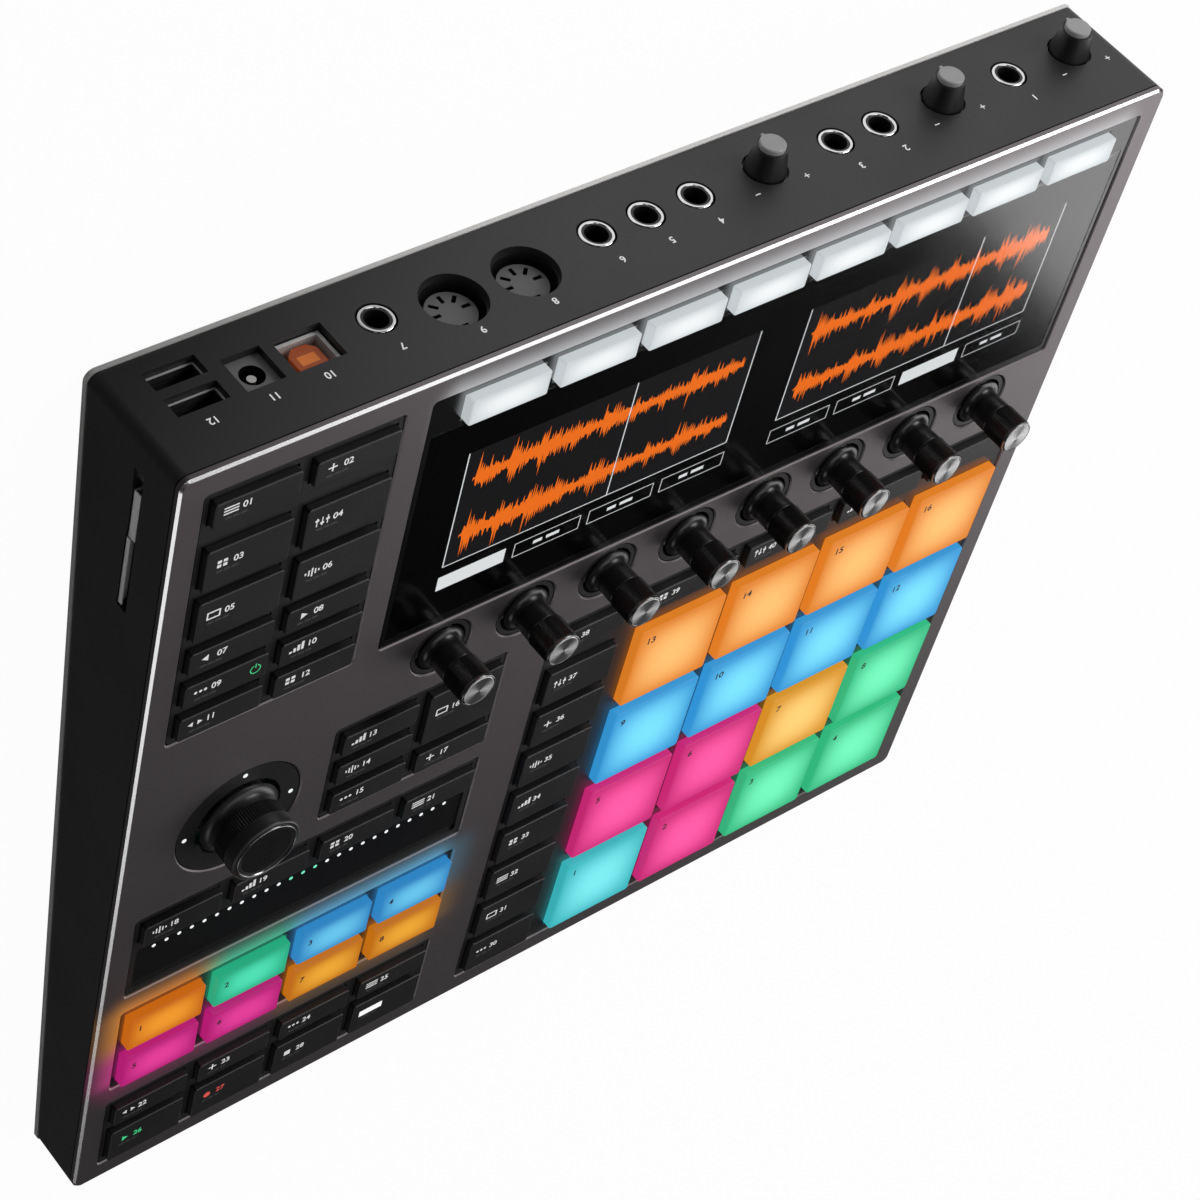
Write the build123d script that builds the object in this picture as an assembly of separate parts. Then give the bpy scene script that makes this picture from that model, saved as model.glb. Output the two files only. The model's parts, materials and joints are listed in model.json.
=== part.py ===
from build123d import *
import math
import os

# Keys and pads of the panel, in millimetres
key_width = 24.2
short_key = 8.2
tall_key = 14.0
key_gap = 4.0
wide_gap = 7.8
key_proud = 1.7
lit_key_proud = 2.2
key_corner = 0.7
key_edge = 0.35
key_clearance = 0.35
key_travel = 0.7
pad_gap = 4.2
pad_proud = 2.2
pad_corner = 1.2
pad_edge = 0.5
pad_travel = 0.5
flange_gap = 0.15
flange_thickness = 1.0
flange_lip = 0.7
dome_radius = 3.0
press_gap = 0.25

# Margins and gaps of the panel layout
plate_margin = 7.4
side_margin = 2.0
end_margin = 2.45
section_gap = 7.4
block_gap = 15.6
display_gap = 8.0
knob_band = 27.3
knob_row_rise = 16.2
strip_depth = 17.5
pad_margin = 3.1
pad_field_gap = 8.4
mode_gap = 7.9

# Case: wedge, walls, plates and feet
wedge_angle = 3.74
front_height = 19.2
wall = 2.2
plate_thickness = 2.0
plate_chamfer = 0.7
window_chamfer = 0.4
window_corner = 1.2
corner_radius = 3.0
shadow_gap_height = 0.4
shadow_gap_depth = 0.5
base_thickness = 1.4
base_overhang = 0.3
foot_height = 2.0
foot_radius = 8.0
foot_inset = 24.0
foot_draft = 0.8
screw_inset = 5.6
boss_radius = 3.0
boss_length = 6.0
screw_radius = 1.5
screw_head_radius = 2.6
screw_head_height = 1.0
screw_length = 6.0
screw_clearance = 0.1
socket_radius = 1.2
socket_depth = 0.6

# Frame under the plate, with the boards behind it
frame_recess = 0.5
frame_sheet = 1.6
land_clearance = 0.3
fit_gap = 0.4
post_radius = 2.4
board_depth = 8.0
board_thickness = 1.6
board_inset = 4.6
mat_thickness = 1.0
sensor_thickness = 1.6
standoff_height = 2.8
standoff_radius = 3.0
main_board_depth = 150.0
main_board_inset = 19.0

# Display and touch strip
display_strip = 11.9
glass_border = 1.5
glass_foot = 2.4
glass_thickness = 1.5
glass_recess = 0.6
glass_ledge = 1.6
screen_width = 99.4
screen_height = 56.4
screen_pitch = 113.2
screen_drop = 11.2
screen_rim = 2.6
strip_recess = 1.2
strip_flange = 1.0
strip_clearance = 0.1
strip_light_count = 25
strip_light_pitch = 4.03
strip_light_radius = 0.6
strip_light_inset = 2.6
light_proud = 0.05
light_clearance = 0.04

# Turning knobs of the panel
knob_hole_radius = 9.8
collar_inner_radius = 8.1
knob_count = 8
knob_height = 16.6
knob_foot = 0.9
skirt_radius = 7.2
skirt_top = 1.6
neck_radius = 5.1
neck_top = 8.2
grip_start = 8.7
grip_radius = 5.5
rim_height = 0.7
rim_radius = 5.05
stem_radius = 2.0
stem_clearance = 0.05
stem_depth = 6.4
bushing_radius = 3.4
bushing_top = 0.2
bushing_room = 0.6
encoder_size = 12.0
encoder_height = 4.0

# Push, tilt and turn knob with its ring
nav_hole_radius = 19.4
nav_rise = 0.6
nav_light_radius = 0.75
nav_light_circle = 16.6
nav_height = 13.0
nav_foot = 0.3
nav_skirt_radius = 12.0
nav_skirt_top = 2.4
nav_neck_radius = 9.4
nav_neck_top = 4.2
nav_grip_radius = 10.45
nav_rim_height = 0.8
nav_dish_radius = 8.0
nav_dish_depth = 0.7
nav_cavity_radius = 6.2
nav_cavity_top = 5.0
nav_tilt = 4.0
nav_room = 0.98
nav_travel = 0.8
pivot_depth = 4.6
gimbal_height = 2.2
gimbal_outer = 10.0
gimbal_inner = 8.2
cradle_radius = 7.5
pivot_pin_radius = 0.8
pivot_clearance = 0.05
cradle_pin_reach = 9.4
gimbal_pin_reach = 12.1
nav_post_inner = 10.9
nav_post_outer = 12.7
nav_post_width = 4.0
nav_base_thickness = 0.6
nav_bushing_radius = 4.6
nav_bushing_top = 1.6
plunger_radius = 3.0
plunger_foot = 5.8
plunger_shoulder_radius = 4.4
plunger_shoulder_height = 1.2
plunger_pin_top = 9.0

# Rear panel: places along it as shares of the half width, to the right of the player first
level_shares = (0.903, 0.602, 0.207)
jack_shares = (0.757, 0.459, 0.360, 0.060, -0.042, -0.141, -0.560)
midi_shares = (-0.294, -0.431)
usb_b_share = -0.685
power_share = -0.782
usb_a_share = -0.887
socket_drop = 24.0
midi_drop = 21.0
usb_drop = 23.3
usb_a_upper_drop = 21.1
usb_a_lower_drop = 30.3
jack_bore = 3.2
jack_ring_radius = 4.7
jack_hole_radius = 5.2
jack_recess = 0.2
jack_depth = 18.0
jack_body_width = 14.0
jack_body_height = 13.0
jack_body_depth = 22.0
level_hole_radius = 6.3
level_base_radius = 5.7
level_tip_radius = 4.3
level_cap_radius = 3.6
level_proud = 8.7
level_cap_height = 1.5
level_cap_chamfer = 0.3
level_foot = 1.2
level_nib_width = 1.1
level_nib_reach = 0.9
level_body_size = 13.0
level_body_depth = 9.0
midi_hole_radius = 8.85
midi_pocket_radius = 8.4
midi_pocket_depth = 6.4
midi_insert_radius = 6.7
midi_insert_height = 4.6
midi_key_width = 2.6
midi_key_depth = 1.8
midi_slot_circle = 4.4
midi_slot_length = 2.6
midi_slot_width = 1.1
midi_slot_angle = 45.0
midi_body_size = 19.0
midi_body_depth = 14.0
usb_b_opening_width = 14.2
usb_b_opening_height = 11.5
usb_b_shell_width = 13.4
usb_b_shell_height = 10.9
usb_b_shell_wall = 1.0
usb_b_depth = 16.0
usb_b_insert_width = 8.2
usb_b_insert_height = 7.4
usb_b_insert_recess = 1.0
usb_b_insert_corner = 2.0
power_opening_width = 10.8
power_opening_height = 11.5
power_body_depth = 14.0
power_bore = 3.25
power_bore_depth = 9.5
power_pin_radius = 1.2
power_pin_recess = 1.2
usb_a_opening_width = 14.3
usb_a_opening_height = 6.2
usb_a_shell_wall = 0.5
usb_a_depth = 14.0
usb_a_tongue_thickness = 1.9
usb_a_tongue_width = 11.2
usb_a_tongue_recess = 2.6

# Card slot in the left wall
slot_length = 46.2
slot_height = 4.0
slot_drop = 15.2
slot_rear_inset = 10.2
reader_depth = 24.0
reader_mouth_height = 2.6
reader_mouth_depth = 19.0
reader_side = 1.6
reader_below = 0.6
card_stop_length = 13.0
card_stop_inset = 6.4
card_stop_height = 1.4

# One overrun serves every cut
overrun = 1.0

# Sizes that follow from the layout
key_pitch = key_width + key_gap
left_block = 4 * key_width + 3 * key_gap + 2 * side_margin
half_block = 2 * key_width + key_gap + 2 * side_margin
transport_height = short_key + key_gap + tall_key + 2 * end_margin
group_height = 2 * tall_key + key_gap + 2 * end_margin
strip_height = short_key + key_gap + strip_depth + 2 * end_margin
master_height = 3 * short_key + 2 * key_gap + 2 * end_margin
lower_height = transport_height + group_height + strip_height + master_height + 3 * section_gap
upper_height = 4 * short_key + 2 * tall_key + 4 * key_gap + wide_gap + 2 * end_margin
pad_pitch = (lower_height - pad_margin - mode_gap - short_key - end_margin + pad_gap) / 4
pad_size = pad_pitch - pad_gap
pad_block = side_margin + key_width + pad_field_gap + 4 * pad_pitch - pad_gap + pad_margin
case_width = 2 * plate_margin + left_block + block_gap + pad_block
case_depth = 2 * plate_margin + lower_height + knob_band + upper_height
half_width = case_width / 2
half_depth = case_depth / 2
tilt = math.radians(wedge_angle)
rear_height = front_height + case_depth * math.tan(tilt)

# Windows of the plate as left, right, front and rear edges
left_edge = -half_width + plate_margin
right_edge = half_width - plate_margin
front_edge = -half_depth + plate_margin
rear_edge = half_depth - plate_margin
lower_top = front_edge + lower_height
group_front = front_edge + transport_height + section_gap
strip_front = group_front + group_height + section_gap
master_front = strip_front + strip_height + section_gap
upper_front = rear_edge - upper_height
left_block_right = left_edge + left_block
upper_right = left_edge + half_block
master_left = left_block_right - half_block
pad_left = left_block_right + block_gap
display_left = upper_right + display_gap
key_windows = {
    "upper": (left_edge, upper_right, upper_front, rear_edge),
    "master": (master_left, left_block_right, master_front, lower_top),
    "strip": (left_edge, left_block_right, strip_front, strip_front + strip_height),
    "group": (left_edge, left_block_right, group_front, group_front + group_height),
    "transport": (left_edge, left_block_right, front_edge, front_edge + transport_height),
    "pads": (pad_left, right_edge, front_edge, lower_top),
}
display_window = (display_left, right_edge, upper_front, rear_edge)

# Places of the knobs and depths below the face of the plate
knob_row = lower_top + knob_row_rise
display_middle = (display_left + right_edge) / 2
knob_places = [display_middle + (i - (knob_count - 1) / 2) * key_pitch for i in range(knob_count)]
nav_x = (left_edge + master_left) / 2
nav_y = (master_front + lower_top) / 2 + nav_rise
nav_opening_radius = nav_skirt_radius + pivot_depth * math.sin(math.radians(nav_tilt)) + nav_room
plunger_shoulder = nav_bushing_top + nav_travel + press_gap
sheet_bottom = plate_thickness + frame_sheet
flange_top = sheet_bottom + flange_gap
flange_bottom = flange_top + flange_thickness
rear_inside = half_depth - wall
left_inside = -half_width + wall
level_places = [share * half_width for share in level_shares]
jack_places = [share * half_width for share in jack_shares]
midi_places = [share * half_width for share in midi_shares]
usb_a_drops = (usb_a_upper_drop, usb_a_lower_drop)
slot_rear = half_depth - slot_rear_inset
slot_front = slot_rear - slot_length

# Resting place: the underside lies flat, with the origin under the middle of the whole part
front_reach = half_depth * math.cos(tilt) - plate_chamfer * math.sin(tilt)
tip_drop = socket_drop + level_cap_radius - level_cap_chamfer
rear_reach = (half_depth + level_proud) * math.cos(tilt) + tip_drop * math.sin(tilt)
shift_y = (front_reach - rear_reach) / 2
floor_height = foot_height + base_thickness
shift_z = floor_height + half_depth * math.sin(tilt) + front_height * math.cos(tilt)
rest = Pos(0, shift_y, shift_z) * Rot(wedge_angle, 0, 0)


def block(xs, ys, zs):
    """Box between two places on each axis."""
    centre = Pos((xs[0] + xs[1]) / 2, (ys[0] + ys[1]) / 2, (zs[0] + zs[1]) / 2)
    return centre * Box(xs[1] - xs[0], ys[1] - ys[0], zs[1] - zs[0])


def rod_x(y, z, radius, start, end):
    """Round bar along X between two places."""
    return Pos((start + end) / 2, y, z) * Rot(0, 90, 0) * Cylinder(radius, end - start)


def rod_y(x, z, radius, start, end):
    """Round bar along Y between two places."""
    return Pos(x, (start + end) / 2, z) * Rot(90, 0, 0) * Cylinder(radius, end - start)


def rod_z(x, y, radius, start, end):
    """Round bar along Z between two places."""
    return Pos(x, y, (start + end) / 2) * Cylinder(radius, end - start)


def prism(window, inset, corner, bottom, top):
    """Round-cornered block that fills a window less an inset."""
    left, right, front, rear = window
    outline = RectangleRounded(right - left - 2 * inset, rear - front - 2 * inset, corner)
    return extrude(Pos((left + right) / 2, (front + rear) / 2, bottom) * outline, top - bottom)


def turned(points):
    """Solid of revolution about Z from radius and height pairs."""
    return revolve(make_face(Polyline([(r, 0, z) for r, z in points], close=True)), Axis.Z)


def stack(top, heights, gaps):
    """Centre and height of each row, from the rear forward."""
    rows = []
    for height, gap in zip(heights, gaps + [0]):
        rows.append((top - height / 2, height))
        top -= height + gap
    return rows


def column(index):
    """Middle of a key column in the left block."""
    return left_edge + side_margin + key_width / 2 + index * key_pitch


def key_grid(columns, rows, proud):
    """Keys of equal width in columns and rows, as middle, size and height."""
    return [(column(i), y, key_width, height, proud) for y, height in rows for i in columns]


# Banks of keys
def upper_keys():
    heights = [short_key, tall_key, tall_key, short_key, short_key, short_key]
    gaps = [wide_gap, key_gap, key_gap, key_gap, key_gap]
    return key_grid(range(2), stack(rear_edge - end_margin, heights, gaps), key_proud)


def master_keys():
    top = lower_top - end_margin
    outer = stack(top, [short_key] * 3, [key_gap] * 2)
    inner = stack(top, [2 * short_key + key_gap, short_key], [key_gap])
    return key_grid([2], outer, key_proud) + key_grid([3], inner, key_proud)


def strip_keys():
    top = strip_front + strip_height - end_margin
    return key_grid(range(4), stack(top, [short_key], []), key_proud)


def group_keys():
    top = group_front + group_height - end_margin
    return key_grid(range(4), stack(top, [tall_key] * 2, [key_gap]), lit_key_proud)


def transport_keys():
    top = front_edge + transport_height - end_margin
    return key_grid(range(4), stack(top, [short_key, tall_key], [key_gap]), key_proud)


def display_keys():
    y = rear_edge - end_margin - short_key / 2
    return [(x, y, key_width, short_key, lit_key_proud) for x in knob_places]


def pad_places():
    """Middles of the pads, counted from the front left corner."""
    first_x = right_edge - pad_margin - pad_size / 2 - 3 * pad_pitch
    first_y = front_edge + pad_margin + pad_size / 2
    return [(first_x + i * pad_pitch, first_y + j * pad_pitch) for j in range(4) for i in range(4)]


def scene_keys():
    x = pad_left + side_margin + key_width / 2
    pitch = pad_pitch / 2
    first = front_edge + pad_margin + pad_size / 2 - pitch / 2
    return [(x, first + i * pitch, key_width, pitch - key_gap, key_proud) for i in range(8)]


def mode_keys():
    y = lower_top - end_margin - short_key / 2
    first = (pad_left + side_margin + key_width / 2, y, key_width, short_key, key_proud)
    return [first] + [(x, y, pad_size, short_key, key_proud) for x, _ in pad_places()[:4]]


key_banks = {
    "upper_keys": upper_keys(),
    "master_keys": master_keys(),
    "strip_keys": strip_keys(),
    "group_keys": group_keys(),
    "transport_keys": transport_keys(),
    "scene_keys": scene_keys(),
    "mode_keys": mode_keys(),
    "display_keys": display_keys(),
}
frame_banks = [name for name in key_banks if name != "display_keys"]


# Case
def base_cut():
    """Everything below the slanted underside of the walls."""
    hinge = Pos(0, -half_depth, -front_height) * Rot(-wedge_angle, 0, 0)
    return hinge * block(
        (-case_width, case_width), (-case_depth, 2 * case_depth), (-rear_height - case_width, 0)
    )


def boss_places():
    """Middles of the screw bosses: four corners and the middle of each long wall."""
    x = half_width - screw_inset
    y = half_depth - screw_inset
    return [(-x, -y), (0, -y), (x, -y), (-x, 0), (x, 0), (-x, y), (0, y), (x, y)]


def floor_at(y):
    """Depth of the walls' lower edge below the face of the plate."""
    return front_height + (y + half_depth) * math.tan(tilt)


def top_plate():
    """Aluminium face plate with bevelled rim and windows."""
    plate = prism((-half_width, half_width, -half_depth, half_depth), 0, corner_radius, -plate_thickness, 0)
    plate = chamfer(plate.faces().sort_by(Axis.Z)[-1].edges(), plate_chamfer)
    for window in list(key_windows.values()) + [display_window]:
        plate -= prism(window, 0, window_corner, -plate_thickness - overrun, overrun)
    for x in knob_places:
        plate -= rod_z(x, knob_row, knob_hole_radius, -plate_thickness - overrun, overrun)
    plate -= rod_z(nav_x, nav_y, nav_hole_radius, -plate_thickness - overrun, overrun)
    face = plate.faces().sort_by(Axis.Z)[-1]
    inner = [edge for wire in face.inner_wires() for edge in wire.edges()]
    return chamfer(inner, window_chamfer)


def rear_openings():
    """Holes of the rear wall, one for each socket and level knob."""
    span = (rear_inside - overrun, half_depth + overrun)
    holes = [rod_y(x, -socket_drop, jack_hole_radius, *span) for x in jack_places]
    holes += [rod_y(x, -socket_drop, level_hole_radius, *span) for x in level_places]
    holes += [rod_y(x, -midi_drop, midi_hole_radius, *span) for x in midi_places]
    holes.append(rear_window(usb_b_share, usb_drop, usb_b_opening_width, usb_b_opening_height, span))
    holes.append(rear_window(power_share, usb_drop, power_opening_width, power_opening_height, span))
    for drop in usb_a_drops:
        holes.append(rear_window(usb_a_share, drop, usb_a_opening_width, usb_a_opening_height, span))
    return holes


def rear_window(share, drop, width, height, span):
    """Rectangular block through the rear wall."""
    x = share * half_width
    return block((x - width / 2, x + width / 2), span, (-drop - height / 2, -drop + height / 2))


def housing():
    """Black wall band of the wedge with socket holes, card slot and screw bosses."""
    outline = (-half_width, half_width, -half_depth, half_depth)
    low = -rear_height - overrun
    band = prism(outline, 0, corner_radius, low, -plate_thickness)
    rim_low = -plate_thickness - shadow_gap_height
    band -= prism(outline, 0, corner_radius, rim_low, -plate_thickness) - prism(
        outline, shadow_gap_depth, corner_radius, rim_low - overrun, -plate_thickness + overrun
    )
    band -= prism(outline, wall, corner_radius - wall / 2, low - overrun, -plate_thickness + overrun)
    for hole in rear_openings():
        band -= hole
    slot_low = -slot_drop - slot_height / 2
    slot_xs = (-half_width - overrun, left_inside + overrun)
    band -= block(slot_xs, (slot_front, slot_rear), (slot_low, slot_low + slot_height))
    for x, y in boss_places():
        band += screw_boss(x, y, low)
    band -= base_cut()
    for x, y in boss_places():
        band -= floor_rod(x, y, screw_radius + screw_clearance, -overrun, screw_length)
    return band


def screw_boss(x, y, low):
    """Round boss joined to the nearest wall by a web."""
    zs = (low, boss_length - floor_at(y))
    if x:
        across = sorted((x, math.copysign(half_width - wall / 2, x)))
        web = block(across, (y - boss_radius, y + boss_radius), zs)
    else:
        across = sorted((y, math.copysign(half_depth - wall / 2, y)))
        web = block((x - boss_radius, x + boss_radius), across, zs)
    return rod_z(x, y, boss_radius, *zs) + web


def floor_rod(x, y, radius, start, end):
    """Round bar square to the underside, measured up from the lower edge of the walls."""
    lean = Pos(x, y, -floor_at(y)) * Rot(-wedge_angle, 0, 0)
    return lean * rod_z(0, 0, radius, start, end)


def base_plate():
    """Silver bottom sheet with board standoffs and countersunk screw holes."""
    length = case_depth / math.cos(tilt)
    outline = (-half_width, half_width, 0, length)
    sheet = prism(outline, -base_overhang, corner_radius, -base_thickness, 0)
    hinge = Pos(0, -half_depth, -front_height) * Rot(-wedge_angle, 0, 0)
    sheet = hinge * sheet
    for x, y in standoff_places():
        sheet += floor_rod(x, y, standoff_radius, -base_thickness / 2, standoff_height)
    for x, y in boss_places():
        sheet -= floor_rod(x, y, screw_radius + screw_clearance, -base_thickness - overrun, overrun)
        sheet -= floor_rod(
            x, y, screw_head_radius + screw_clearance,
            -base_thickness - overrun, screw_head_height - base_thickness,
        )
    return sheet


def standoff_places():
    """Middles of the pillars under the main board."""
    x = half_width - 2 * main_board_inset
    rear = half_depth - 2 * main_board_inset
    front = rear - main_board_depth + 2 * main_board_inset
    return [(i, j) for i in (-x, 0, x) for j in (front, rear)]


def case_screws():
    """Socket head screws that hold the bottom sheet to the walls."""
    screws = []
    for x, y in boss_places():
        screw = floor_rod(x, y, screw_head_radius, -base_thickness, screw_head_height - base_thickness)
        screw += floor_rod(x, y, screw_radius, -base_thickness, screw_length - screw_clearance)
        screw -= floor_rod(x, y, socket_radius, -base_thickness - overrun, socket_depth - base_thickness)
        screws.append(screw)
    return Compound(children=screws)


def rubber_feet():
    """Four low feet under the corners of the bottom sheet."""
    feet = []
    foot = turned([
        (0, 0), (foot_radius, 0), (foot_radius - foot_draft, -foot_height), (0, -foot_height),
    ])
    x = half_width - foot_inset
    y = half_depth - foot_inset
    for i, j in [(-x, -y), (x, -y), (-x, y), (x, y)]:
        lean = Pos(i, j, -floor_at(j)) * Rot(-wedge_angle, 0, 0)
        feet.append(lean * Pos(0, 0, -base_thickness) * foot)
    return Compound(children=feet)


# Frame under the plate
def key_hole(x, y, width, depth):
    """Opening of the frame round one key."""
    room = 2 * key_clearance
    low = -sheet_bottom - overrun
    return Pos(x, y, low) * extrude(Rectangle(width + room, depth + room), sheet_bottom + 2 * overrun)


def frame_posts():
    """Middles of the posts that carry the control board."""
    gap_x = (left_block_right + pad_left) / 2
    upper_x = (upper_right + display_left) / 2
    between = [(knob_places[i] + knob_places[i + 1]) / 2 for i in (0, 3, 6)]
    places = [(gap_x, y) for y in (front_edge, group_front, master_front)]
    places += [(upper_x, upper_front), (upper_x, rear_edge)]
    return places + [(x, knob_row) for x in between]


def button_frame():
    """Black frame behind the plate, with lands that fill the windows and rings round the knobs."""
    outline = (-half_width, half_width, -half_depth, half_depth)
    frame = prism(outline, wall + fit_gap, window_corner, -sheet_bottom, -plate_thickness)
    for window in key_windows.values():
        frame += prism(window, land_clearance, window_corner, -sheet_bottom, -frame_recess)
    frame -= prism(display_window, land_clearance, window_corner, -sheet_bottom - overrun, overrun)
    rings = [(x, knob_row, knob_hole_radius, collar_inner_radius) for x in knob_places]
    rings.append((nav_x, nav_y, nav_hole_radius, nav_opening_radius))
    for x, y, outer, inner in rings:
        frame += rod_z(x, y, outer - land_clearance, -sheet_bottom, -frame_recess)
        frame -= rod_z(x, y, inner, -sheet_bottom - overrun, overrun)
    for x, y in nav_lights():
        frame -= rod_z(x, y, nav_light_radius, -sheet_bottom - overrun, overrun)
    for name in frame_banks:
        for x, y, width, depth, _ in key_banks[name]:
            frame -= key_hole(x, y, width, depth)
    for x, y in pad_places():
        frame -= key_hole(x, y, pad_size, pad_size)
    frame -= prism(strip_window(), 0, window_corner, -sheet_bottom - overrun, overrun)
    for x, y in frame_posts():
        frame += rod_z(x, y, post_radius, -board_depth, -plate_thickness)
    return frame


def strip_window():
    """Edges of the touch strip's opening in the frame."""
    front = strip_front + end_margin
    return (left_edge + side_margin, left_block_right - side_margin, front, front + strip_depth)


def nav_lights():
    """Middles of the four lights in the ring."""
    turns = [math.radians(90 * i) for i in range(4)]
    return [
        (nav_x + nav_light_circle * math.cos(a), nav_y + nav_light_circle * math.sin(a)) for a in turns
    ]


def strip_lights():
    """Middles of the row of lights along the touch strip."""
    left, right, _, rear = strip_window()
    middle = (left + right) / 2
    count = strip_light_count
    y = rear - strip_light_inset
    return [(middle + (i - (count - 1) / 2) * strip_light_pitch, y) for i in range(count)]


def glass_window():
    """Edges of the display glass."""
    left, right, front, rear = display_window
    edge = land_clearance + glass_border
    return (left + edge, right - edge, front + glass_foot, rear - display_strip)


def display_frame():
    """Dark surround of the display with the openings of its keys."""
    frame = prism(display_window, land_clearance, window_corner, -sheet_bottom, -frame_recess)
    glass = glass_window()
    frame -= prism(glass, 0, key_corner, -glass_recess - glass_thickness, overrun)
    frame -= prism(glass, glass_ledge, key_corner, -sheet_bottom - overrun, overrun)
    for x, y, width, depth, _ in key_banks["display_keys"]:
        frame -= key_hole(x, y, width, depth)
    return frame


def display_glass():
    """Clear cover over both screens."""
    return prism(glass_window(), strip_clearance, key_corner, -glass_recess - glass_thickness, -glass_recess)


def display_panels():
    """Two screen modules behind the glass, standing on the control board."""
    y = glass_window()[3] - screen_drop - screen_height / 2
    half = screen_width / 2 + screen_rim
    tall = screen_height / 2 + screen_rim
    panels = []
    for x in (display_middle - screen_pitch / 2, display_middle + screen_pitch / 2):
        zs = (-board_depth, -glass_recess - glass_thickness)
        panels.append(block((x - half, x + half), (y - tall, y + tall), zs))
    return Compound(children=panels)


def touch_strip():
    """Touch strip held by a flange under the frame."""
    window = strip_window()
    strip = prism(window, strip_clearance, window_corner, -sheet_bottom - overrun, -strip_recess)
    strip += prism(
        window, -strip_flange, window_corner, -sheet_bottom - flange_thickness, -sheet_bottom
    )
    for x, y in strip_lights():
        radius = strip_light_radius + light_clearance
        strip -= rod_z(x, y, radius, -sheet_bottom - flange_thickness - overrun, overrun)
    return strip


def indicator_lights():
    """Clear light pipes of the touch strip and the ring, standing on the control board."""
    pipes = []
    for x, y in strip_lights():
        pipes.append(rod_z(x, y, strip_light_radius, -board_depth, light_proud - strip_recess))
    for x, y in nav_lights():
        radius = nav_light_radius - light_clearance
        pipes.append(rod_z(x, y, radius, -board_depth, light_proud - frame_recess))
    return Compound(children=pipes)


# Boards, mat and sensors
def control_board():
    """Circuit board that carries the switches, encoders and screens."""
    outline = (-half_width, half_width, -half_depth, half_depth)
    low = -board_depth - board_thickness
    return prism(outline, wall + board_inset, corner_radius, low, -board_depth)


def keypad_mat():
    """Rubber sheet with one dome under each key, a piece for each bank."""
    pieces = []
    for keys in key_banks.values():
        left = min(x - width / 2 for x, _, width, _, _ in keys)
        right = max(x + width / 2 for x, _, width, _, _ in keys)
        front = min(y - depth / 2 for _, y, _, depth, _ in keys)
        rear = max(y + depth / 2 for _, y, _, depth, _ in keys)
        top = mat_thickness - board_depth
        piece = block((left, right), (front, rear), (-board_depth, top))
        for x, y, _, _, _ in keys:
            piece += rod_z(x, y, dome_radius, -board_depth, -flange_bottom - key_travel - press_gap)
        pieces.append(piece)
    return Compound(children=pieces)


def pad_sensors():
    """Pressure sheet with a raised tile under each pad."""
    places = pad_places()
    reach = pad_size / 2
    xs = (places[0][0] - reach, places[-1][0] + reach)
    ys = (places[0][1] - reach, places[-1][1] + reach)
    sheet = block(xs, ys, (-board_depth, sensor_thickness - board_depth))
    tile = reach - pad_gap
    for x, y in places:
        top = -flange_bottom - pad_travel - press_gap
        sheet += block((x - tile, x + tile), (y - tile, y + tile), (-board_depth, top))
    return sheet


def main_board():
    """Circuit board on the bottom sheet's pillars, behind the rear sockets."""
    rear = half_depth - main_board_inset
    y = rear - main_board_depth
    window = (-half_width + main_board_inset, half_width - main_board_inset, 0, main_board_depth)
    lean = Pos(0, y, -floor_at(y)) * Rot(-wedge_angle, 0, 0)
    return lean * prism(window, 0, corner_radius, standoff_height, standoff_height + board_thickness)


# Knobs, their shafts and bodies
def encoder_body(x):
    """Rotary encoder on the control board with its bushing."""
    half = encoder_size / 2
    top = encoder_height - board_depth
    body = block((x - half, x + half), (knob_row - half, knob_row + half), (-board_depth, top))
    body += rod_z(x, knob_row, bushing_radius, -board_depth, bushing_top)
    return body - rod_z(x, knob_row, stem_radius + stem_clearance, -stem_depth - press_gap, overrun)


def level_body(x):
    """Level potentiometer behind the rear wall."""
    half = level_body_size / 2
    zs = (-socket_drop - half, -socket_drop + half)
    body = block((x - half, x + half), (rear_inside - level_body_depth, rear_inside), zs)
    start = rear_inside - stem_depth - press_gap
    return body - rod_y(x, -socket_drop, stem_radius + stem_clearance, start, half_depth)


def nav_socket():
    """Base and two posts that carry the gimbal of the large knob."""
    xs = (nav_x - nav_post_outer, nav_x + nav_post_outer)
    low = -board_depth
    base = block(xs, (nav_y - gimbal_outer, nav_y + gimbal_outer), (low, low + nav_base_thickness))
    half = nav_post_width / 2
    top = gimbal_height / 2 + pivot_pin_radius - pivot_depth
    for side in (-1, 1):
        span = sorted((nav_x + side * nav_post_inner, nav_x + side * nav_post_outer))
        base += block(span, (nav_y - half, nav_y + half), (low, top))
    radius = pivot_pin_radius + pivot_clearance
    return base - rod_x(nav_y, -pivot_depth, radius, xs[0] - overrun, xs[1] + overrun)


def rotary_bodies():
    """Bodies of the eight encoders, the three level controls and the large knob's socket."""
    bodies = [encoder_body(x) for x in knob_places]
    bodies += [level_body(x) for x in level_places]
    return Compound(children=bodies + [nav_socket()])


def encoder_knob(x):
    """Slim stepped knob with a ribbed grip and its shaft."""
    room = bushing_radius + bushing_room
    room_top = bushing_top + bushing_room
    return Pos(x, knob_row, 0) * turned([
        (0, -stem_depth),
        (stem_radius, -stem_depth),
        (stem_radius, room_top),
        (room, room_top),
        (room, -knob_foot),
        (skirt_radius, -knob_foot),
        (skirt_radius, 0),
        (neck_radius, skirt_top),
        (neck_radius, neck_top),
        (grip_radius, grip_start),
        (grip_radius, knob_height - rim_height),
        (rim_radius, knob_height),
        (0, knob_height),
    ])


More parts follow.
